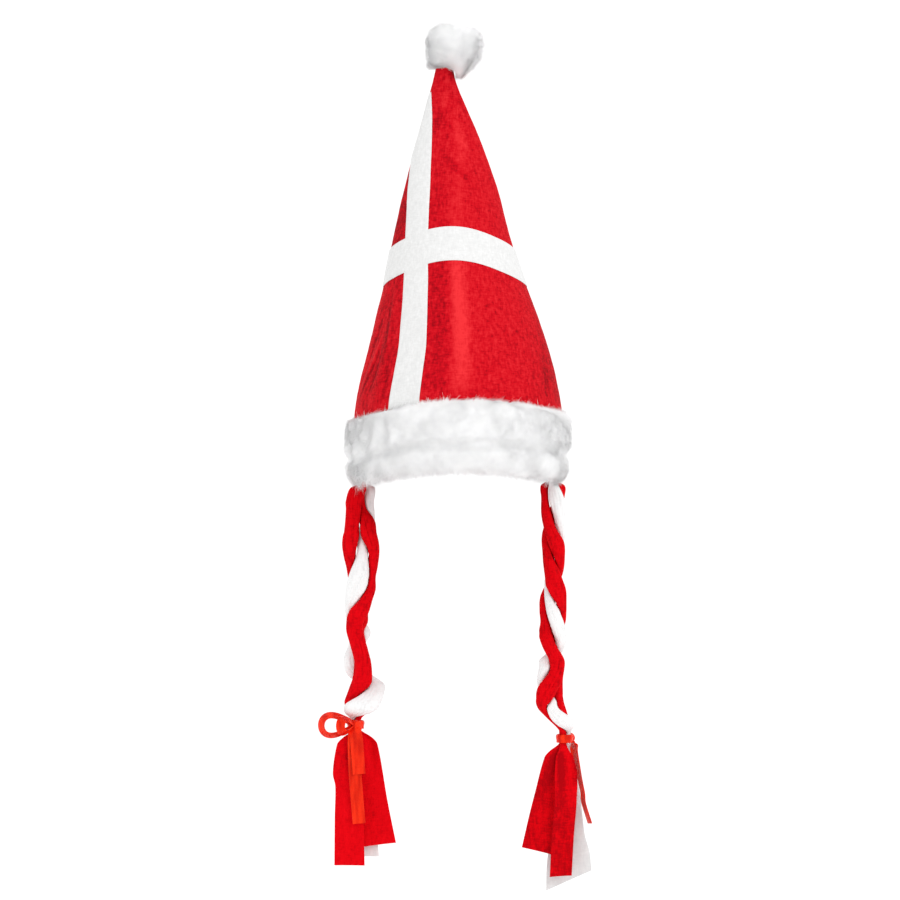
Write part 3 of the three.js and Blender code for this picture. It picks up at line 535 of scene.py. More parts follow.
# Ribbon: a satin strip wound round the tie and knotted, with two tails and on the left two loops.
RIBBON = {
    "thickness": 0.6,
    "ring_radius": 6.2,
    "ring_height": 6.5,
    "knot_out": 7.8,
    "knot_half": (4.6, 3, 4.2),
    "loop_width": 7.2,
    "loop_tilt": math.radians(42),
    "loop_start": 0.03,
    "tail_width": 10,
    "sides": 16,
    "squareness": 0.5,
    "ring_steps": 72,
    "ring_ribs": 3,
    "ring_rib": 0.25,  # height of each
    "knot_steps": (40, 24),
    "knot_cut": 0.97,  # share of its height that is left of the ball
    "knot_wraps": 5,
    "knot_wrap": 0.06,  # height of each, as a share of the knot
}
RIBBON_STEPS = 48

# Surfaces: noise in bumps per metre, the places of the colours along it, and the shader's values.
FELT_BLOTCHES = {"scale": 330, "detail": 2, "stretch": (1, 1, 0.5)}
FELT_FIBRES = (
    {"scale": 900, "stretch": (1, 0.25, 0.25), "turn": (0.3, 0.5, 0.2)},
    {"scale": 900, "stretch": (0.25, 0.25, 1), "turn": (0.2, 0.4, 1.1)},
)
FELT_FIBRE_SHARE = 0.66  # of the shade, the rest is blotches
FELT_TONES = (0.29, 0.48, 0.77)
FELT_SHADER = {"Roughness": 0.9, "Specular IOR Level": 0.05, "Sheen Roughness": 0.45}
FELT_BUMP = {"depth": 0.5, "strength": 0.5}
PLUSH_TUFTS = {"scale": 160}
PLUSH_GRAIN = {"scale": 1200}
PLUSH_TONES = (0.3, 0.6)
PLUSH_SHADER = {
    "Roughness": 0.85, "Specular IOR Level": 0.1, "Sheen Weight": 0.15, "Subsurface Radius": (1, 1, 1),
}
PLUSH_BUMP = {"depth": 0.4, "strength": 0.4}
SATIN_STREAKS = {"scale": 240, "stretch": (1, 1, 0.12)}
SATIN_RIBS = {"scale": 1500, "detail": 2, "stretch": (0.15, 0.15, 1)}
SATIN_WRINKLES = {"scale": 160, "detail": 2, "stretch": (1, 1, 0.7)}
SATIN_WRINKLE_SHARE = 0.85  # of the bump, the rest is ribs
SATIN_TONES = (0.34, 0.62)
SATIN_SHADER = {
    "Roughness": 0.36, "Specular IOR Level": 0.5, "Specular Tint": (1, 0.3, 0.12, 1), "Anisotropic": 0.5,
}
SATIN_BUMP = {"depth": 3, "strength": 0.8}


def smoothstep(value, low, high):
    share = np.clip((value - low) / (high - low), 0, 1)
    return share * share * (3 - 2 * share)


def unit(vectors):
    return vectors / np.linalg.norm(vectors, axis=1)[:, None]


def squared(wave, power):
    """A wave from -1 to 1 that is squarer for a power under 1, and more pointed for one above."""
    return np.sign(wave) * np.abs(wave) ** power


def full_turn(steps):
    """Angles once round, in even steps."""
    return np.arange(steps) / steps * 2 * math.pi


def between(rows, key, value):
    """Every column of a table at values of its key, on a smooth curve through the rows."""
    keys = rows[key]
    at = np.clip(value, keys[0], keys[-1])
    low = np.clip(np.searchsorted(keys, at) - 1, 0, len(keys) - 2)
    step = keys[low + 1] - keys[low]
    t = (at - keys[low]) / step
    before = np.maximum(np.arange(len(keys)) - 1, 0)
    after = np.minimum(np.arange(len(keys)) + 1, len(keys) - 1)
    result = {}
    for name, column in rows.items():
        slope = (column[after] - column[before]) / (keys[after] - keys[before])
        rise = column[low + 1] - column[low]
        bend = (1 - t) * (slope[low] * step - rise) - t * (slope[low + 1] * step - rise)
        result[name] = column[low] + rise * t + t * (1 - t) * bend
    return result


def waves(points, size, seed):
    """Smooth seeded noise, from about -1 to 1, with bumps about one size wide."""
    rng = np.random.default_rng(seed)
    count = WAVES["count"]
    directions = unit(rng.normal(size=(count, 3)))
    pace = 2 * math.pi / (2 * size) * rng.uniform(*WAVES["pace"], count)
    phase = rng.uniform(0, 2 * math.pi, count)
    total = np.zeros(points.shape[:-1])
    for i in range(count):
        total += np.sin(points @ (directions[i] * pace[i]) + phase[i])
    return total / math.sqrt(count)


def off_side(azimuth):
    """Degrees from the nearer side of the hat, where its seams and braids are."""
    return np.abs(90 - np.abs((np.degrees(azimuth) + 180) % 360 - 180))


def edge_height(edge, azimuth):
    side = np.sin(azimuth)
    return edge["front"] - edge["drop"] * side * side + edge["lean"] * side


def fold_rise(folds, azimuth, height):
    rise = np.zeros(np.broadcast(azimuth, height).shape)
    for middle, level, slant, width, reach, size in zip(*folds.values()):
        up = height - level
        turn = (np.degrees(azimuth) - middle - slant * up + 180) % 360 - 180
        rise += size * np.exp(-(turn / width) ** 2 - (up / reach) ** 2)
    top = edge_height(BAND_TOP, azimuth)
    return rise * smoothstep(height, top, top + FOLD_FADE)


def crown_point(azimuth, height, out):
    """Points on the crown at an azimuth and height, moved outwards from its outer face."""
    azimuth, height, out = np.broadcast_arrays(azimuth, height, out)
    section = between(CROWN_SECTIONS, "height", height)
    grow = out + fold_rise(FOLDS, azimuth, height)
    lens = squared(np.cos(azimuth), 1 + section["seam"])
    x = section["shift"] + (section["half_width"] + grow) * np.sin(azimuth)
    y = section["back"] - (section["half_depth"] + grow) * lens
    return np.stack([x, y, height], axis=-1)


def felt_point(azimuth, height, out):
    """Points on the crown's felt, with its creases, its unevenness and the dip at its seams."""
    smooth = crown_point(azimuth, height, 0)
    dip = SEAM_DIP * np.exp(-(off_side(azimuth) / SEAM_WIDTH) ** 2)
    detail = fold_rise(CREASES, azimuth, height) - dip
    for seed, (size, rise) in enumerate(FELT_WAVES, SEEDS["felt"]):
        detail = detail + rise * waves(smooth, size, seed)
    return crown_point(azimuth, height, out + detail)


def wall(outer, inner, keep):
    """Points and faces of a closed wall between two grids of points, over the cells that are kept."""
    count = outer.shape[0] * outer.shape[1]
    number = np.arange(count).reshape(outer.shape[:2])
    a, b, c, d = number[:-1, :-1], number[:-1, 1:], number[1:, 1:], number[1:, :-1]
    around = np.pad(keep, 1)
    borders = [
        (a, b, around[:-2, 1:-1]),
        (b, c, around[1:-1, 2:]),
        (c, d, around[2:, 1:-1]),
        (d, a, around[1:-1, :-2]),
    ]
    top = np.stack([a, b, c, d], -1)[keep]
    faces = [top, top[:, ::-1] + count]
    for start, end, beyond in borders:
        edge = keep & ~beyond
        p, q = start[edge], end[edge]
        faces.append(np.stack([q, p, p + count, q + count], -1))
    points = np.concatenate([outer.reshape(-1, 3), inner.reshape(-1, 3)])
    used, faces = np.unique(np.concatenate(faces), return_inverse=True)
    return points[used], faces.reshape(-1, 4)


def loft(rings, looped=False):
    """Points and faces of a body through rings of points, as a loop or with capped ends."""
    count, sides = rings.shape[:2]
    number = np.arange(count * sides).reshape(count, sides)
    below, above = (number, np.roll(number, -1, 0)) if looped else (number[:-1], number[1:])
    quads = np.stack([below, np.roll(below, -1, 1), np.roll(above, -1, 1), above], -1).reshape(-1, 4)
    if not looped:
        j = np.arange(sides // 2 - 1)
        cap = np.stack([(sides - j) % sides, j + 1, j + 2, sides - j - 1], -1)
        quads = np.concatenate([quads, cap[:, ::-1], cap + (count - 1) * sides])
    return rings.reshape(-1, 3), quads


def outward(points, faces):
    """The faces of a closed mesh, turned to point out."""
    a, b, c = (points[faces[:, i]] for i in (0, 1, 2))
    volume = np.einsum("ij,ij->", a, np.cross(b, c))
    if faces.shape[1] == 4:
        volume += np.einsum("ij,ij->", a, np.cross(c, points[faces[:, 3]]))
    return faces if volume > 0 else faces[:, ::-1]


def make_piece(name, points, faces, material, normals=None, nap_and_shade=None):
    mesh = bpy.data.meshes.new(name)
    mesh.from_pydata((points * MM).tolist(), [], faces.tolist())
    mesh.shade_smooth()
    if normals is None:
        mesh.set_sharp_from_angle(angle=math.radians(SHARP_ANGLE))
    else:
        mesh.normals_split_custom_set_from_vertices(normals.tolist())
    # Nap, painted highlight and painted shade go to the material as an attribute.
    if nap_and_shade is not None:
        mesh.attributes.new("nap_and_shade", "FLOAT", "POINT").data.foreach_set("value", nap_and_shade)
    mesh.materials.append(material)
    piece = bpy.data.objects.new(name, mesh)
    bpy.context.scene.collection.objects.link(piece)
    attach(piece, "root")
    return piece


def make_solid(name, points, faces, material, slot, nap_and_shade=None):
    """A closed piece that takes the place of the solid of its name."""
    piece = make_piece(name, points, outward(points, faces), material, nap_and_shade=nap_and_shade)
    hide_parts(name)
    return piece


# Materials


def node_material(name):
    """A new material, its node tree, its shader and the place on the object."""
    material = bpy.data.materials.new(name)
    material.use_nodes = True
    tree = material.node_tree
    place = tree.nodes.new("ShaderNodeTexCoord").outputs["Object"]
    return material, tree, tree.nodes["Principled BSDF"], place


def set_inputs(node, values):
    for name, value in values.items():
        node.inputs[name].default_value = value


def noise(tree, place, scale, detail=3, stretch=(1, 1, 1), turn=(0, 0, 0)):
    """Noise of bumps per metre, stretched and turned."""
    mapping = tree.nodes.new("ShaderNodeMapping")
    set_inputs(mapping, {"Scale": stretch, "Rotation": turn})
    tree.links.new(place, mapping.inputs["Vector"])
    texture = tree.nodes.new("ShaderNodeTexNoise")
    set_inputs(texture, {"Scale": scale, "Detail": detail})
    tree.links.new(mapping.outputs["Vector"], texture.inputs["Vector"])
    return texture.outputs["Fac"]


def ramp(tree, shader, value, places, colours):
    """Gives the shader colours along a value, each at its place."""
    node = tree.nodes.new("ShaderNodeValToRGB")
    elements = node.color_ramp.elements
    while len(elements) < len(places):
        elements.new(0.5)
    for element, place, colour in zip(elements, places, colours):
        element.position = place
        element.color = (*colour, 1)
    tree.links.new(value, node.inputs["Fac"])
    tree.links.new(node.outputs["Color"], shader.inputs["Base Color"])


def combine(tree, first, second, share):
    """A mix of two values."""
    mix = tree.nodes.new("ShaderNodeMix")
    set_inputs(mix, {"Factor": share})
    tree.links.new(first, mix.inputs["A"])
    tree.links.new(second, mix.inputs["B"])
    return mix.outputs["Result"]


def bump(tree, shader, height, depth, strength):
    node = tree.nodes.new("ShaderNodeBump")
    set_inputs(node, {"Distance": depth * MM, "Strength": strength})
    tree.links.new(height, node.inputs["Height"])
    tree.links.new(node.outputs["Normal"], shader.inputs["Normal"])


def felt_material(name, colours, sheen, sheen_tint):
    """Pressed felt: short fibres lying every way, with soft blotches. Its colours go from dark to light."""
    material, tree, shader, place = node_material(name)
    blotches = noise(tree, place, **FELT_BLOTCHES)
    one_way, other_way = (noise(tree, place, **look) for look in FELT_FIBRES)
    lying = combine(tree, one_way, other_way, 0.5)
    shade = combine(tree, blotches, lying, FELT_FIBRE_SHARE)
    # The pieces carry nap, painted highlight and painted shade in an attribute, which moves the felt's shade
    # along its colours.
    nap_and_shade = tree.nodes.new("ShaderNodeAttribute")
    nap_and_shade.attribute_name = "nap_and_shade"
    toned = tree.nodes.new("ShaderNodeMath")
    tree.links.new(shade, toned.inputs[0])
    tree.links.new(nap_and_shade.outputs["Fac"], toned.inputs[1])
    ramp(tree, shader, toned.outputs["Value"], FELT_TONES, colours)
    set_inputs(shader, {**FELT_SHADER, "Sheen Weight": sheen, "Sheen Tint": (*sheen_tint, 1)})
    bump(tree, shader, lying, **FELT_BUMP)
    return material


def plush_material(name, colours, scatter, reach):
    """White pile with darker and lighter tufts, that scatters some of its light."""
    material, tree, shader, place = node_material(name)
    ramp(tree, shader, noise(tree, place, **PLUSH_TUFTS), PLUSH_TONES, colours)
    shader.subsurface_method = "BURLEY"
    set_inputs(shader, {**PLUSH_SHADER, "Subsurface Weight": scatter, "Subsurface Scale": reach * MM})
    bump(tree, shader, noise(tree, place, **PLUSH_GRAIN), **PLUSH_BUMP)
    return material


def satin_material(name, colours):
    """Ribbon satin: fine cross ribs, small wrinkles and a broad gloss."""
    material, tree, shader, place = node_material(name)
    ramp(tree, shader, noise(tree, place, **SATIN_STREAKS), SATIN_TONES, colours)
    set_inputs(shader, SATIN_SHADER)
    ribs = noise(tree, place, **SATIN_RIBS)
    wrinkles = noise(tree, place, **SATIN_WRINKLES)
    bump(tree, shader, combine(tree, ribs, wrinkles, SATIN_WRINKLE_SHARE), **SATIN_BUMP)
    return material


# The lightest colour of the red felt is pinker, for the painted highlight along the front crease.
RED_FELT = felt_material(
    "red_felt",
    colours=((0.23, 0.001, 0.005), (0.54, 0.003, 0.010), (0.74, 0.028, 0.034)),
    sheen=0.06,
    sheen_tint=(1, 0.15, 0.15),
)
BRAID_FELT = felt_material(
    "braid_felt",
    colours=((0.37, 0.0003, 0.003), (0.63, 0.0005, 0.004), (0.78, 0.002, 0.007)),
    sheen=0.03,
    sheen_tint=(1, 0.1, 0.1),
)
WHITE_FELT = felt_material(
    "white_felt",
    colours=((0.64, 0.64, 0.64), (0.7, 0.7, 0.695), (0.82, 0.82, 0.82)),
    sheen=0.08,
    sheen_tint=(1, 1, 1),
)
WHITE_PLUSH = plush_material(
    "white_plush",
    colours=((0.885, 0.885, 0.89), (0.94, 0.94, 0.94)),
    scatter=0.18,
    reach=3,
)
POMPOM_PLUSH = plush_material(
    "pompom_plush",
    colours=((0.89, 0.89, 0.895), (0.93, 0.93, 0.93)),
    scatter=0.1,
    reach=5,
)
RED_SATIN = satin_material("red_satin", colours=((0.56, 0.003, 0.002), (0.9, 0.024, 0.006)))


# Crown and cross


def crown_panel(name, middle):
    azimuth = middle + np.linspace(-math.pi / 2, math.pi / 2, PANEL_COLUMNS + 1)
    rim = edge_height(BAND_BOTTOM, azimuth) + HEM
    height = rim + (TIP_HEIGHT - rim) * np.linspace(0, 1, PANEL_ROWS + 1)[:, None]
    keep = np.ones((PANEL_ROWS, PANEL_COLUMNS), bool)
    seam = np.array((0, -SEAM_GAP / 2 if middle == 0 else SEAM_GAP / 2, 0))
    outer = felt_point(azimuth, height, 0) + seam
    inner = felt_point(azimuth, height, -FELT) + seam
    points, faces = wall(outer, inner, keep)
    # Nap, painted highlight and painted shade of the crown, with painted shade in its dents and painted
    # highlight on its rises.
    nap_and_shade = fold_rise(FELT_NAP_AND_SHADE, azimuth, height) + CREASE_SHADE * fold_rise(CREASES, azimuth, height)
    both_faces = np.tile(nap_and_shade.ravel(), 2)
    return make_solid(name, points, faces, RED_FELT, "red_felt", both_faces)


def panel_place(across, down):
    """Azimuth and height of points of the flat front panel: across from its middle, down from the apex."""
    share = np.arctan2(across, down) / PANEL_HALF_ANGLE
    flat = PANEL_FLATNESS["share"] * (1 - np.abs(share) ** PANEL_FLATNESS["power"])
    sine = (1 - flat) * np.sin(share * math.pi / 2) + flat * share
    return np.arcsin(np.clip(sine, -1, 1)), APEX_HEIGHT - np.hypot(across, down) * PANEL_SLANT


def cross_columns(down):
    """Distances across the panel of the cross's columns, at each distance down."""
    seam = math.tan(PANEL_HALF_ANGLE) * down - CROSS["seam_margin"]
    bend = CROSS["stripe_bend"] * np.maximum(0, down - CROSS["bend_start"])
    middle = -(CROSS["stripe_start"] + CROSS["stripe_drift"] * down + bend)
    half = (CROSS["stripe_width"] + CROSS["stripe_growth"] * down) / 2
    left = np.maximum(middle - half, -seam)
    right = middle + half
    spans = [(-seam, left, "side"), (left, right, "stripe"), (right, seam, "far_side")]
    columns = []
    for start, end, name in spans:
        share = np.linspace(0, 1, CROSS_STEPS[name], endpoint=False)
        columns.append(start[:, None] + (end - start)[:, None] * share)
    return np.concatenate([*columns, seam[:, None]], axis=1), left, right


def down_to_band(across, down):
    """How far down the panel its columns reach before they meet the band."""
    edge = edge_height(BAND_TOP, panel_place(across, down)[0]) + CROSS["band_margin"]
    return np.sqrt(((APEX_HEIGHT - edge) / PANEL_SLANT) ** 2 - across * across)


def cross_rows():
    """Distances down the panel of the cross's rows."""
    above = np.linspace(CROSS["stripe_top"], CROSS["bar_top"], CROSS_STEPS["above"], endpoint=False)
    bar = np.linspace(CROSS["bar_top"], CROSS["bar_bottom"], CROSS_STEPS["bar"], endpoint=False)
    reach = (APEX_HEIGHT - BAND_TOP["front"]) / PANEL_SLANT
    below = np.linspace(CROSS["bar_bottom"], reach, CROSS_STEPS["below"] + 1)
    return np.concatenate([above, bar, below])


def cross_cells(across):
    """Which cells of the cross's grid are in its bar or its stripe."""
    rows = np.arange(across.shape[0] - 1)[:, None]
    columns = np.arange(across.shape[1] - 1)
    in_bar = (rows >= CROSS_STEPS["above"]) & (rows < CROSS_STEPS["above"] + CROSS_STEPS["bar"])
    in_stripe = (columns >= CROSS_STEPS["side"]) & (columns < CROSS_STEPS["side"] + CROSS_STEPS["stripe"])
    return in_bar | in_stripe


def make_cross():
    downs = cross_rows()
    across, left, right = cross_columns(downs)
    down = np.broadcast_to(downs[:, None], across.shape)
    share = (down - CROSS["bar_bottom"]) / (downs[-1] - CROSS["bar_bottom"])
    foot = CROSS["bar_bottom"] + (down_to_band(across[-1], down[-1]) - CROSS["bar_bottom"]) * share
    down = np.where(down > CROSS["bar_bottom"], foot, down)
    stripe_edge = np.minimum(across - left[:, None], right[:, None] - across)
    bar_edge = np.minimum(down - CROSS["bar_top"], CROSS["bar_bottom"] - down)
    edge = np.maximum(np.minimum(stripe_edge, down - CROSS["stripe_top"]), bar_edge)
    rounded = np.sqrt(np.clip(edge / CROSS["edge_round"], 0, 1))
    fullness = CROSS["edge_share"] + (1 - CROSS["edge_share"]) * rounded
    azimuth, height = panel_place(across, down)
    outer = felt_point(azimuth, height, CROSS["lift"] + CROSS["thickness"] * fullness)
    inner = felt_point(azimuth, height, CROSS["lift"])
    points, faces = wall(outer, inner, cross_cells(across))
    points[:, 1] -= SEAM_GAP / 2
    return make_solid("cross", points, faces, WHITE_FELT, "white_felt")


# Plush


def fibres(roots, ups, tips, widths):
    """Joined fibres, each a flat blade from its root to its tip with a face to the outside and one behind.
    The outer faces are shaded like the surface that they make up. Gives their points, faces and normals."""
    along = tips - roots
    across = unit(np.cross(along, ups))
    outer = unit(np.cross(across, along))
    half = across * widths[:, None] / 2
    sunk = FIBRE["depth"] * outer
    front = [roots - half, roots + half, tips]
    behind = [roots + half - sunk, roots - half - sunk, tips - sunk]
    shaded = unit(FIBRE["blend"] * ups - outer)
    points = np.stack(front + behind, 1).reshape(-1, 3)
    normals = np.stack([ups] * 3 + [shaded] * 3, 1).reshape(-1, 3)
    return points, np.arange(len(points)).reshape(-1, 3), normals


def pile(roots, ups, leans, size, seed, growth=1):
    """Fibres from roots, lying the way they lean and drawn together into tufts."""
    rng = np.random.default_rng(seed)
    count = len(roots)
    shortest, longest = PILE_LENGTHS
    shares = shortest + (longest - shortest) * rng.uniform(0, 1, count) ** PILE_FEW_LONG
    lengths = size["length"] * growth * shares
    direction = unit(size["stand"] * ups + leans + PILE_STRAY * rng.normal(size=(count, 3)))
    tips = roots + direction * lengths[:, None]
    chosen = rng.choice(count, size["clumps"], replace=False)
    tree = KDTree(len(chosen))
    for i, k in enumerate(chosen):
        tree.insert(roots[k], i)
    tree.balance()
    nearest = np.array([tree.find(root)[1] for root in roots])
    drawn = size["drawn"] * rng.uniform(0, 1, count)[:, None]
    tips += drawn * (tips[chosen[nearest]] - tips)
    widths = size["width"] * rng.uniform(*PILE_WIDTHS, count)
    return fibres(roots, ups, tips, widths)


def band_point(azimuth, along, sunk):
    """Points on the band's outside, sunk below the pile's surface."""
    azimuth, along = np.broadcast_arrays(azimuth, along)
    profile = between(BAND_PROFILE, "along", along)
    low = edge_height(BAND_BOTTOM, azimuth)
    high = edge_height(BAND_TOP, azimuth)
    height = low + (high - low) * profile["rise"]
    out = np.maximum(profile["out"] - sunk, WALL_GAP)
    plain = crown_point(azimuth, height, out)
    for seed, (size, rise) in enumerate(BAND_LUMPS, SEEDS["band_lumps"]):
        out = out + rise * waves(plain, size, seed) * smoothstep(out, WALL_GAP, LUMPS_FULL)
    return crown_point(azimuth, height, np.maximum(out, WALL_GAP))


def make_band():
    azimuth = full_turn(BAND_STEPS)
    low = edge_height(BAND_BOTTOM, azimuth)
    high = edge_height(BAND_TOP, azimuth)
    outside = band_point(azimuth[:, None], np.linspace(0, 1, BAND_ROWS + 1), BAND_PILE["depth"])
    inside = [
        crown_point(azimuth, low + HEM_ROUND, -FELT),
        crown_point(azimuth, low + HEM - SEAM_GAP, -FELT),
        crown_point(azimuth, low + HEM - SEAM_GAP, WALL_GAP),
    ]
    inside += [crown_point(azimuth, low + (high - low) * rise, WALL_GAP) for rise in BAND_WALL_RISES]
    rings = np.concatenate([outside, np.stack(inside, 1)], axis=1)
    core = make_solid("band", *loft(rings, looped=True), WHITE_PLUSH, "white_plush")


def band_fibres():
    rng = np.random.default_rng(SEEDS["band_roots"])
    count = BAND_PILE["count"]
    depth = BAND_PILE["depth"]
    azimuth = rng.uniform(0, 2 * math.pi, count)
    along = rng.uniform(*BAND_ROOTS, count)
    roots = band_point(azimuth, along, depth)
    sideways = band_point(azimuth + SMALL, along, depth) - roots
    downward = band_point(azimuth, along + SMALL, depth) - roots
    ups = unit(np.cross(downward, sideways))
    top_edge = 1 - smoothstep(along, 0, BAND_EDGE["share"])
    bottom_edge = smoothstep(along, 1 - BAND_EDGE["share"], 1)
    swirl = BAND_LEAN["turn"] * waves(roots, BAND_LEAN["size"], SEEDS["band_lean"])
    turn = math.pi * (swirl * (1 - bottom_edge) + top_edge)
    leans = np.sin(turn)[:, None] * unit(sideways) + np.cos(turn)[:, None] * unit(downward)
    leans[:, 2] -= bottom_edge
    tufts = bottom_edge * np.exp(-(off_side(azimuth) / BRAID_TUFTS["width"]) ** 2)
    growth = 1 + BAND_EDGE["growth"] * np.maximum(top_edge, bottom_edge) + BRAID_TUFTS["growth"] * tufts
    points, faces, normals = pile(roots, ups, leans, BAND_PILE, SEEDS["band_pile"], growth)
    make_piece("band_pile", points, faces, WHITE_PLUSH, normals=normals)


def inside_tip(points):
    """Whether points are inside the crown's tip, grown by a clearance."""
    section = between(CROWN_SECTIONS, "height", points[..., 2])
    across = (points[..., 0] - section["shift"]) / (section["half_width"] + TIP_CLEARANCE)
    deep = (points[..., 1] - section["back"]) / (section["half_depth"] + TIP_CLEARANCE)
    return (across ** 2 + deep ** 2 < 1) & (points[..., 2] < TIP_HEIGHT + TIP_CLEARANCE)


def pompom_point(directions, share):
    """Points of the pompom along directions from its middle, at a share of its full size."""
    turn = np.degrees(np.arctan2(directions[:, 2], directions[:, 0]))
    turn = np.where(turn < POMPOM_OUTLINE["angle"][0], turn + 360, turn)
    outline = between(POMPOM_OUTLINE, "angle", turn)["reach"]
    facing = directions[:, 1] ** 2
    plain = np.linalg.norm(directions * POMPOM_HALF, axis=1)
    size = facing + (1 - facing) * outline / plain
    for seed, (width, rise) in enumerate(POMPOM_LUMPS, SEEDS["pompom_lumps"]):
        size += rise * waves(directions * POMPOM_HALF, width, seed)
    points = POMPOM_CENTRE + directions * POMPOM_HALF * (share * size)[:, None]
    for reach in TIP_SHARES:
        trial = POMPOM_CENTRE + directions * POMPOM_HALF * (share * size * reach)[:, None]
        hit = inside_tip(points)
        points[hit] = trial[hit]
    return points


def sphere_directions(count):
    """Directions spread evenly over a sphere."""
    i = np.arange(count)
    up = 1 - (2 * i + 1) / count
    flat = np.sqrt(1 - up * up)
    turn = math.pi * (3 - math.sqrt(5)) * i
    return np.stack([flat * np.cos(turn), flat * np.sin(turn), up], 1)


def make_pompom():
    bpy.ops.mesh.primitive_ico_sphere_add(subdivisions=POMPOM_SPLITS, radius=1)
    ball = bpy.context.object
    directions = np.array([vertex.co for vertex in ball.data.vertices])
    faces = np.array([face.vertices for face in ball.data.polygons])
    bpy.data.objects.remove(ball)
    points = pompom_point(directions, POMPOM_CORE)
    core = make_solid("pompom", points, faces, POMPOM_PLUSH, "white_plush")


def pompom_fibres():
    directions = sphere_directions(POMPOM_PILE["count"])
    roots = pompom_point(directions, POMPOM_CORE)
    free = ~inside_tip(POMPOM_CENTRE + directions * POMPOM_HALF)
    roots, ups = roots[free], directions[free]
    swirl = np.stack([waves(roots, POMPOM_SWIRL, SEEDS["pompom_swirl"] + axis) for axis in range(3)], 1)
    leans = unit(swirl - ups * np.sum(swirl * ups, axis=1)[:, None])
    points, faces, normals = pile(roots, ups, leans, POMPOM_PILE, SEEDS["pompom_pile"])
    make_piece("pompom_pile", points, faces, POMPOM_PLUSH, normals=normals)


# Braids


def tie_place(side):
    """The place of a braid's tie."""
    line = LINES[side]
    return np.array((line["across"][-1], 0, -line["down"][-1]))


def strip_across(angles):
    """How far across a flat strip the points of its outline are, from -1 to 1."""
    return squared(np.cos(angles), STRIP_SQUARENESS)


def turned(places, angle):
    """Places across and back, turned by an angle."""
    x = places[..., 0] * np.cos(angle) - places[..., 1] * np.sin(angle)
    y = places[..., 0] * np.sin(angle) + places[..., 1] * np.cos(angle)
    return np.stack([x, y], -1)


def strand_creases(name, down):
    """How creased a strip is round its outline at each level, from 0 to 1, for each size of crease."""
    around, level = np.broadcast_arrays(full_turn(STRIP_SIDES), down[:, None])
    radius = CREASE_ROLL["radius"]
    roll = [radius * np.cos(around), radius * np.sin(around), level / CREASE_ROLL["stretch"]]
    cloth = np.stack(roll, -1)
    seed = SEEDS["strand_creases"] + STRANDS.index(name)
    lines = [np.abs(waves(cloth, size, seed)) for size, _ in STRAND_CREASES]
    return [np.maximum(1 - CREASE_SHARPNESS * line, 0) ** 2 for line in lines]


def braid_sections(side, name, down):
    """The middle, outline and painted shade of one strip at each level, across and back from the braid's
    line.
    Each strip is an oval that swells until it meets its neighbours."""
    rows = {strand: between(PATHS[side, strand], "down", down) for strand in STRANDS}
    own = rows[name]
    middle = np.stack([own["across"], own["back"]], -1)
    size = own["wide"] + own["deep"]
    angles = full_turn(STRIP_SIDES)
    directions = np.stack([np.cos(angles), np.sin(angles)], -1)
    oval = np.hypot(directions[:, 0] / own["wide"][:, None], directions[:, 1] / own["deep"][:, None])
    limits = [1 / oval]
    for other in rows.values():
        if other is own:
            continue
        away = np.stack([other["across"], other["back"]], -1) - middle
        distance = np.linalg.norm(away, axis=1)
        share = distance * size / (size + other["wide"] + other["deep"]) - STRAND_GAP / 2
        facing = (away / distance[:, None]) @ directions.T
        limits.append(share[:, None] / np.maximum(facing, SMALL))
    reach = sum(limit ** -STRAND_ROUNDNESS for limit in limits) ** (-1 / STRAND_ROUNDNESS)
    # Painted shade where the neighbours press on the strip and in its creases.
    pressed = smoothstep(1 - reach * oval, *STRAND_PRESSED)
    creases = strand_creases(name, down)
    for (_, depth), crease in zip(STRAND_CREASES, creases):
        reach = reach * (1 - depth * crease)
    nap_and_shade = STRAND_SHADE["pressed"] * pressed + STRAND_SHADE["crease"] * sum(creases)
    return middle, directions * reach[..., None], nap_and_shade


def tail_outline(rows):
    """The outline of an opened strip at each drop: flat, cupped and turned. Gives the painted light and
    shade of its ripples too.
    """
    angles = full_turn(STRIP_SIDES)
    across = strip_across(angles)
    through = strip_across(angles - math.pi / 2)
    column = {name: values[:, None] for name, values in rows.items()}
    x = across * column["width"] / 2
    drop = np.broadcast_to(column["drop"], x.shape)
    cloth = np.stack([x, column["face"] + 0 * x, drop / GATHERS["stretch"]], -1)
    ripples = waves(cloth, GATHERS["size"], SEEDS["gathers"])
    gathers = GATHERS["height"] * ripples * (1 - smoothstep(drop, *GATHERS["fade"]))
    y = through * column["thick"] / 2 - column["cup"] * across ** 2 + gathers
    nap_and_shade = GATHERS["nap_and_shade"] * ripples * (1 - smoothstep(drop, *GATHERS["shade_fade"]))
    return turned(np.stack([x, y], -1), np.radians(column["face"])), nap_and_shade


def tail_rings(side, name):
    """The rings of a strip's tail, from its bundled section at the tie to its hem, and their painted light
    and shade.
    """
    tail = TAILS[side, name]
    middle, outline, _ = braid_sections(side, name, LINES[side]["down"][-1:])
    bundled = {column: np.full(2, values[0]) for column, values in tail.items()}
    bundled["drop"] = np.array((0, TIE_FOOT))
    bundled["across"], bundled["back"] = np.full((2, 2), middle[0]).T
    rows = {column: np.concatenate([bundled[column], values]) for column, values in tail.items()}
    end = tail["drop"][-1]
    drop = np.linspace(0, end, int(end / BRAID_ROW))[1:]
    at = between(rows, "drop", drop)
    opened = smoothstep(drop, TIE_FOOT, TAIL_OPEN)[:, None]
    flat, nap_and_shade = tail_outline(at)
    offsets = outline + opened[..., None] * (flat - outline)
    x = at["across"][:, None] + offsets[..., 0]
    y = at["back"][:, None] + offsets[..., 1]
    z = -drop[:, None] - at["slant"][:, None] * strip_across(full_turn(STRIP_SIDES))
    return tie_place(side) + np.stack([x, y, z], -1), nap_and_shade * opened


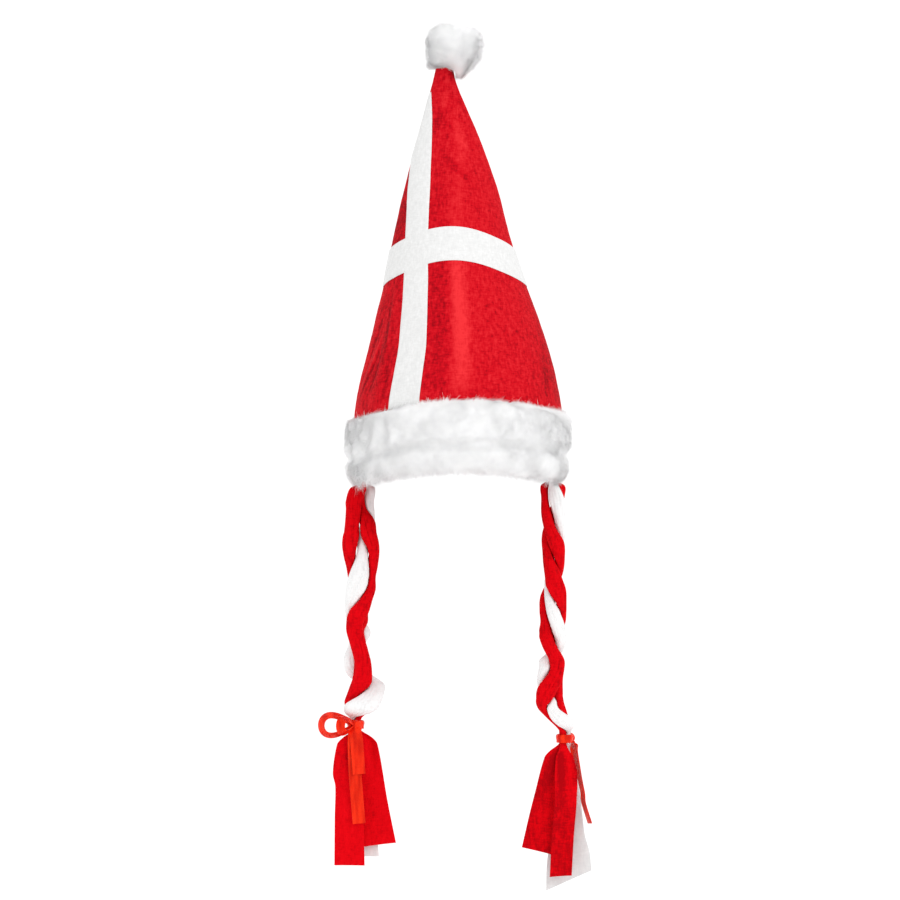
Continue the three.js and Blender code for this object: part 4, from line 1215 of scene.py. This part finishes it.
def braid_rings(side, name):
    """The rings of a strip from the rim to the tie, and their painted shade."""
    top, foot = LINES[side]["down"][[0, -1]]
    down = np.linspace(top, foot, int((foot - top) / BRAID_ROW))
    middle, outline, nap_and_shade = braid_sections(side, name, down)
    places = middle[:, None] + outline
    x = between(LINES[side], "down", down)["across"][:, None] + places[..., 0]
    z = np.broadcast_to(-down[:, None], x.shape)
    return np.stack([x, places[..., 1], z], -1), nap_and_shade


def make_strip(side, name):
    plaited, plaited_shade = braid_rings(side, name)
    tail, tail_shade = tail_rings(side, name)
    points, faces = loft(np.concatenate([plaited, tail]))
    white = name == "white"
    material, slot = (WHITE_FELT, "white_felt") if white else (BRAID_FELT, "braid_felt")
    below_tie = tie_place(side)[2] - points[:, 2]
    tail_share = smoothstep(below_tie, TIE_FOOT, TAIL_OPEN)
    # Painted shade and light of the strip, the tails of each side painted lighter or darker, and the plaited
    # white strips painted lighter against their shade.
    nap_and_shade = np.concatenate([plaited_shade.ravel(), tail_shade.ravel()]) + TAIL_LIGHTNESS[side] * tail_share
    if white:
        nap_and_shade += STRAND_SHADE["white"] * (1 - tail_share)
    piece = make_solid(f"{side}_braid_{name}", points, faces, material, slot, nap_and_shade)


# Ribbons


def strip_along(path, width_direction, width, tilt):
    """A flat ribbon along a path and tilted about it, as a closed body."""
    along = unit(np.gradient(path, axis=0))
    level = unit(width_direction - along * (along @ width_direction)[:, None])
    across = level * math.cos(tilt) + np.cross(along, level) * math.sin(tilt)
    through = np.cross(along, across)
    angles = full_turn(RIBBON["sides"])
    wide = squared(np.cos(angles), RIBBON["squareness"]) * width / 2
    thick = squared(np.sin(angles), RIBBON["squareness"]) * RIBBON["thickness"] / 2
    rings = path[:, None] + across[:, None] * wide[:, None] + through[:, None] * thick[:, None]
    return loft(rings)


def smooth_path(points, steps):
    rows = table("along x y z", *[(i, *point) for i, point in enumerate(points)])
    at = between(rows, "along", np.linspace(0, len(points) - 1, steps))
    return np.stack([at["x"], at["y"], at["z"]], -1)


def ribbon_ring():
    turn = full_turn(RIBBON["ring_steps"])
    angles = full_turn(RIBBON["sides"])
    ribs = RIBBON["ring_rib"] * np.sin(RIBBON["ring_ribs"] * angles)
    out = RIBBON["ring_radius"] + RIBBON["thickness"] * np.cos(angles) + ribs
    up = RIBBON["ring_height"] / 2 * np.sin(angles)
    x = np.sin(turn)[:, None] * out
    y = -np.cos(turn)[:, None] * out
    z = np.broadcast_to(up, x.shape)
    return loft(np.stack([x, y, z], -1), looped=True)


def ribbon_loop(loop, side):
    length, half_height, swing = loop
    swing = math.radians(swing)
    turn = math.pi * np.linspace(RIBBON["loop_start"], 1 - RIBBON["loop_start"], RIBBON_STEPS)
    reach = length * np.sin(turn)
    out = -RIBBON["knot_out"] - reach * math.sin(swing)
    path = np.stack([side * reach * math.cos(swing), out, half_height * np.sin(2 * turn)], -1)
    depth = np.array((side * math.sin(swing), math.cos(swing), 0))
    return strip_along(path, depth, RIBBON["loop_width"], side * RIBBON["loop_tilt"])


def ribbon_tail(points, turn):
    path = smooth_path([(across, -out, -drop) for across, out, drop in points], RIBBON_STEPS)
    level = np.array((math.cos(turn), math.sin(turn), 0))
    return strip_along(path, level, RIBBON["tail_width"], 0)


def ribbon_knot():
    steps, rows = RIBBON["knot_steps"]
    turn = full_turn(steps)
    rise = np.linspace(-1, 1, rows) * RIBBON["knot_cut"]
    half = RIBBON["knot_half"]
    flat = np.sqrt(1 - rise ** 2)[:, None]
    wrap = 1 + RIBBON["knot_wrap"] * np.cos(RIBBON["knot_wraps"] * turn)
    x = half[0] * flat * np.sin(turn) * wrap
    y = -RIBBON["knot_out"] - half[1] * flat * np.cos(turn) * wrap
    z = np.broadcast_to(half[2] * rise[:, None], x.shape)
    return loft(np.stack([x, y, z], -1))


def make_ribbon(side):
    tied = BOWS[side]
    long_tail = ribbon_tail(tied["long_tail"], math.radians(tied["long_turn"]))
    bodies = [ribbon_ring(), ribbon_knot(), long_tail, ribbon_tail(tied["short_tail"], 0)]
    bodies += [ribbon_loop(loop, tied["loop_side"]) for loop in tied["loops"]]
    points, faces, count = [], [], 0
    for body_points, body_faces in bodies:
        points.append(body_points)
        faces.append(outward(body_points, body_faces) + count)
        count += len(body_points)
    points = np.concatenate(points)
    flat = turned(points[:, :2], math.radians(tied["facing"]))
    points = np.column_stack([flat, points[:, 2]]) + tie_place(side)
    piece = make_solid(f"{side}_ribbon", points, np.concatenate(faces), RED_SATIN, "red_satin")


# Stage


def aimed(obj, target):
    direction = Vector(target) - obj.location
    obj.rotation_euler = direction.to_track_quat("-Z", "Y").to_euler()


def make_camera():
    camera = bpy.data.objects.new("camera", bpy.data.cameras.new("camera"))
    bpy.context.scene.collection.objects.link(camera)
    across = (PHOTO_SIDE / 2 - ORIGIN_PIXEL[0]) * PIXEL * MM
    height = (ORIGIN_PIXEL[1] - PHOTO_SIDE / 2) * PIXEL * MM
    camera.location = (across, -CAMERA_DISTANCE * MM, height)
    aimed(camera, (across, 0, height))
    camera.data.sensor_width = SENSOR
    camera.data.lens = SENSOR * CAMERA_DISTANCE / (PHOTO_SIDE * PIXEL)
    bpy.context.scene.camera = camera


def make_light(name, place, size, power):
    light = bpy.data.lights.new(name, "AREA")
    light.shape = "DISK"
    light.size = size
    light.energy = power
    lamp = bpy.data.objects.new(name, light)
    bpy.context.scene.collection.objects.link(lamp)
    lamp.location = place
    aimed(lamp, LIT_PLACE)


def make_floor():
    radius = FLOOR_RADIUS * MM
    bpy.ops.mesh.primitive_circle_add(vertices=FLOOR_SIDES, radius=radius, fill_type="NGON")
    floor = bpy.context.object
    floor.name = "floor"
    floor.location.z = FLOOR_HEIGHT * MM
    material, tree, shader, place = node_material("floor")
    set_inputs(shader, {"Base Color": FLOOR_WHITE, "Roughness": 1})
    reach = tree.nodes.new("ShaderNodeVectorMath")
    reach.operation = "LENGTH"
    tree.links.new(place, reach.inputs[0])
    fade = tree.nodes.new("ShaderNodeMapRange")
    set_inputs(fade, {"From Min": FLOOR_FADE * radius, "From Max": radius, "To Min": 1, "To Max": 0})
    tree.links.new(reach.outputs["Value"], fade.inputs["Value"])
    tree.links.new(fade.outputs["Result"], shader.inputs["Alpha"])
    floor.data.materials.append(material)


def make_world():
    """Even white light from all round."""
    world = bpy.data.worlds.new("studio")
    world.use_nodes = True
    background = world.node_tree.nodes["Background"]
    background.inputs["Color"].default_value = (1, 1, 1, 1)
    background.inputs["Strength"].default_value = WORLD_LIGHT
    scene = bpy.context.scene
    scene.world = world
    scene.view_settings.view_transform = "Standard"


def build_stage():
    make_camera()
    make_world()
    make_floor()
    for name, place, size, power in LIGHTS:
        make_light(name, place, size, power)
    bpy.context.scene.cycles.diffuse_bounces = DIFFUSE_BOUNCES


def build_hat():
    front = crown_panel("crown_front", 0)
    back = crown_panel("crown_back", math.pi)
    make_cross()
    make_band()
    band_fibres()
    make_pompom()
    pompom_fibres()
    for side in LINES:
        for name in STRANDS:
            make_strip(side, name)
        make_ribbon(side)


build_stage()
build_hat()
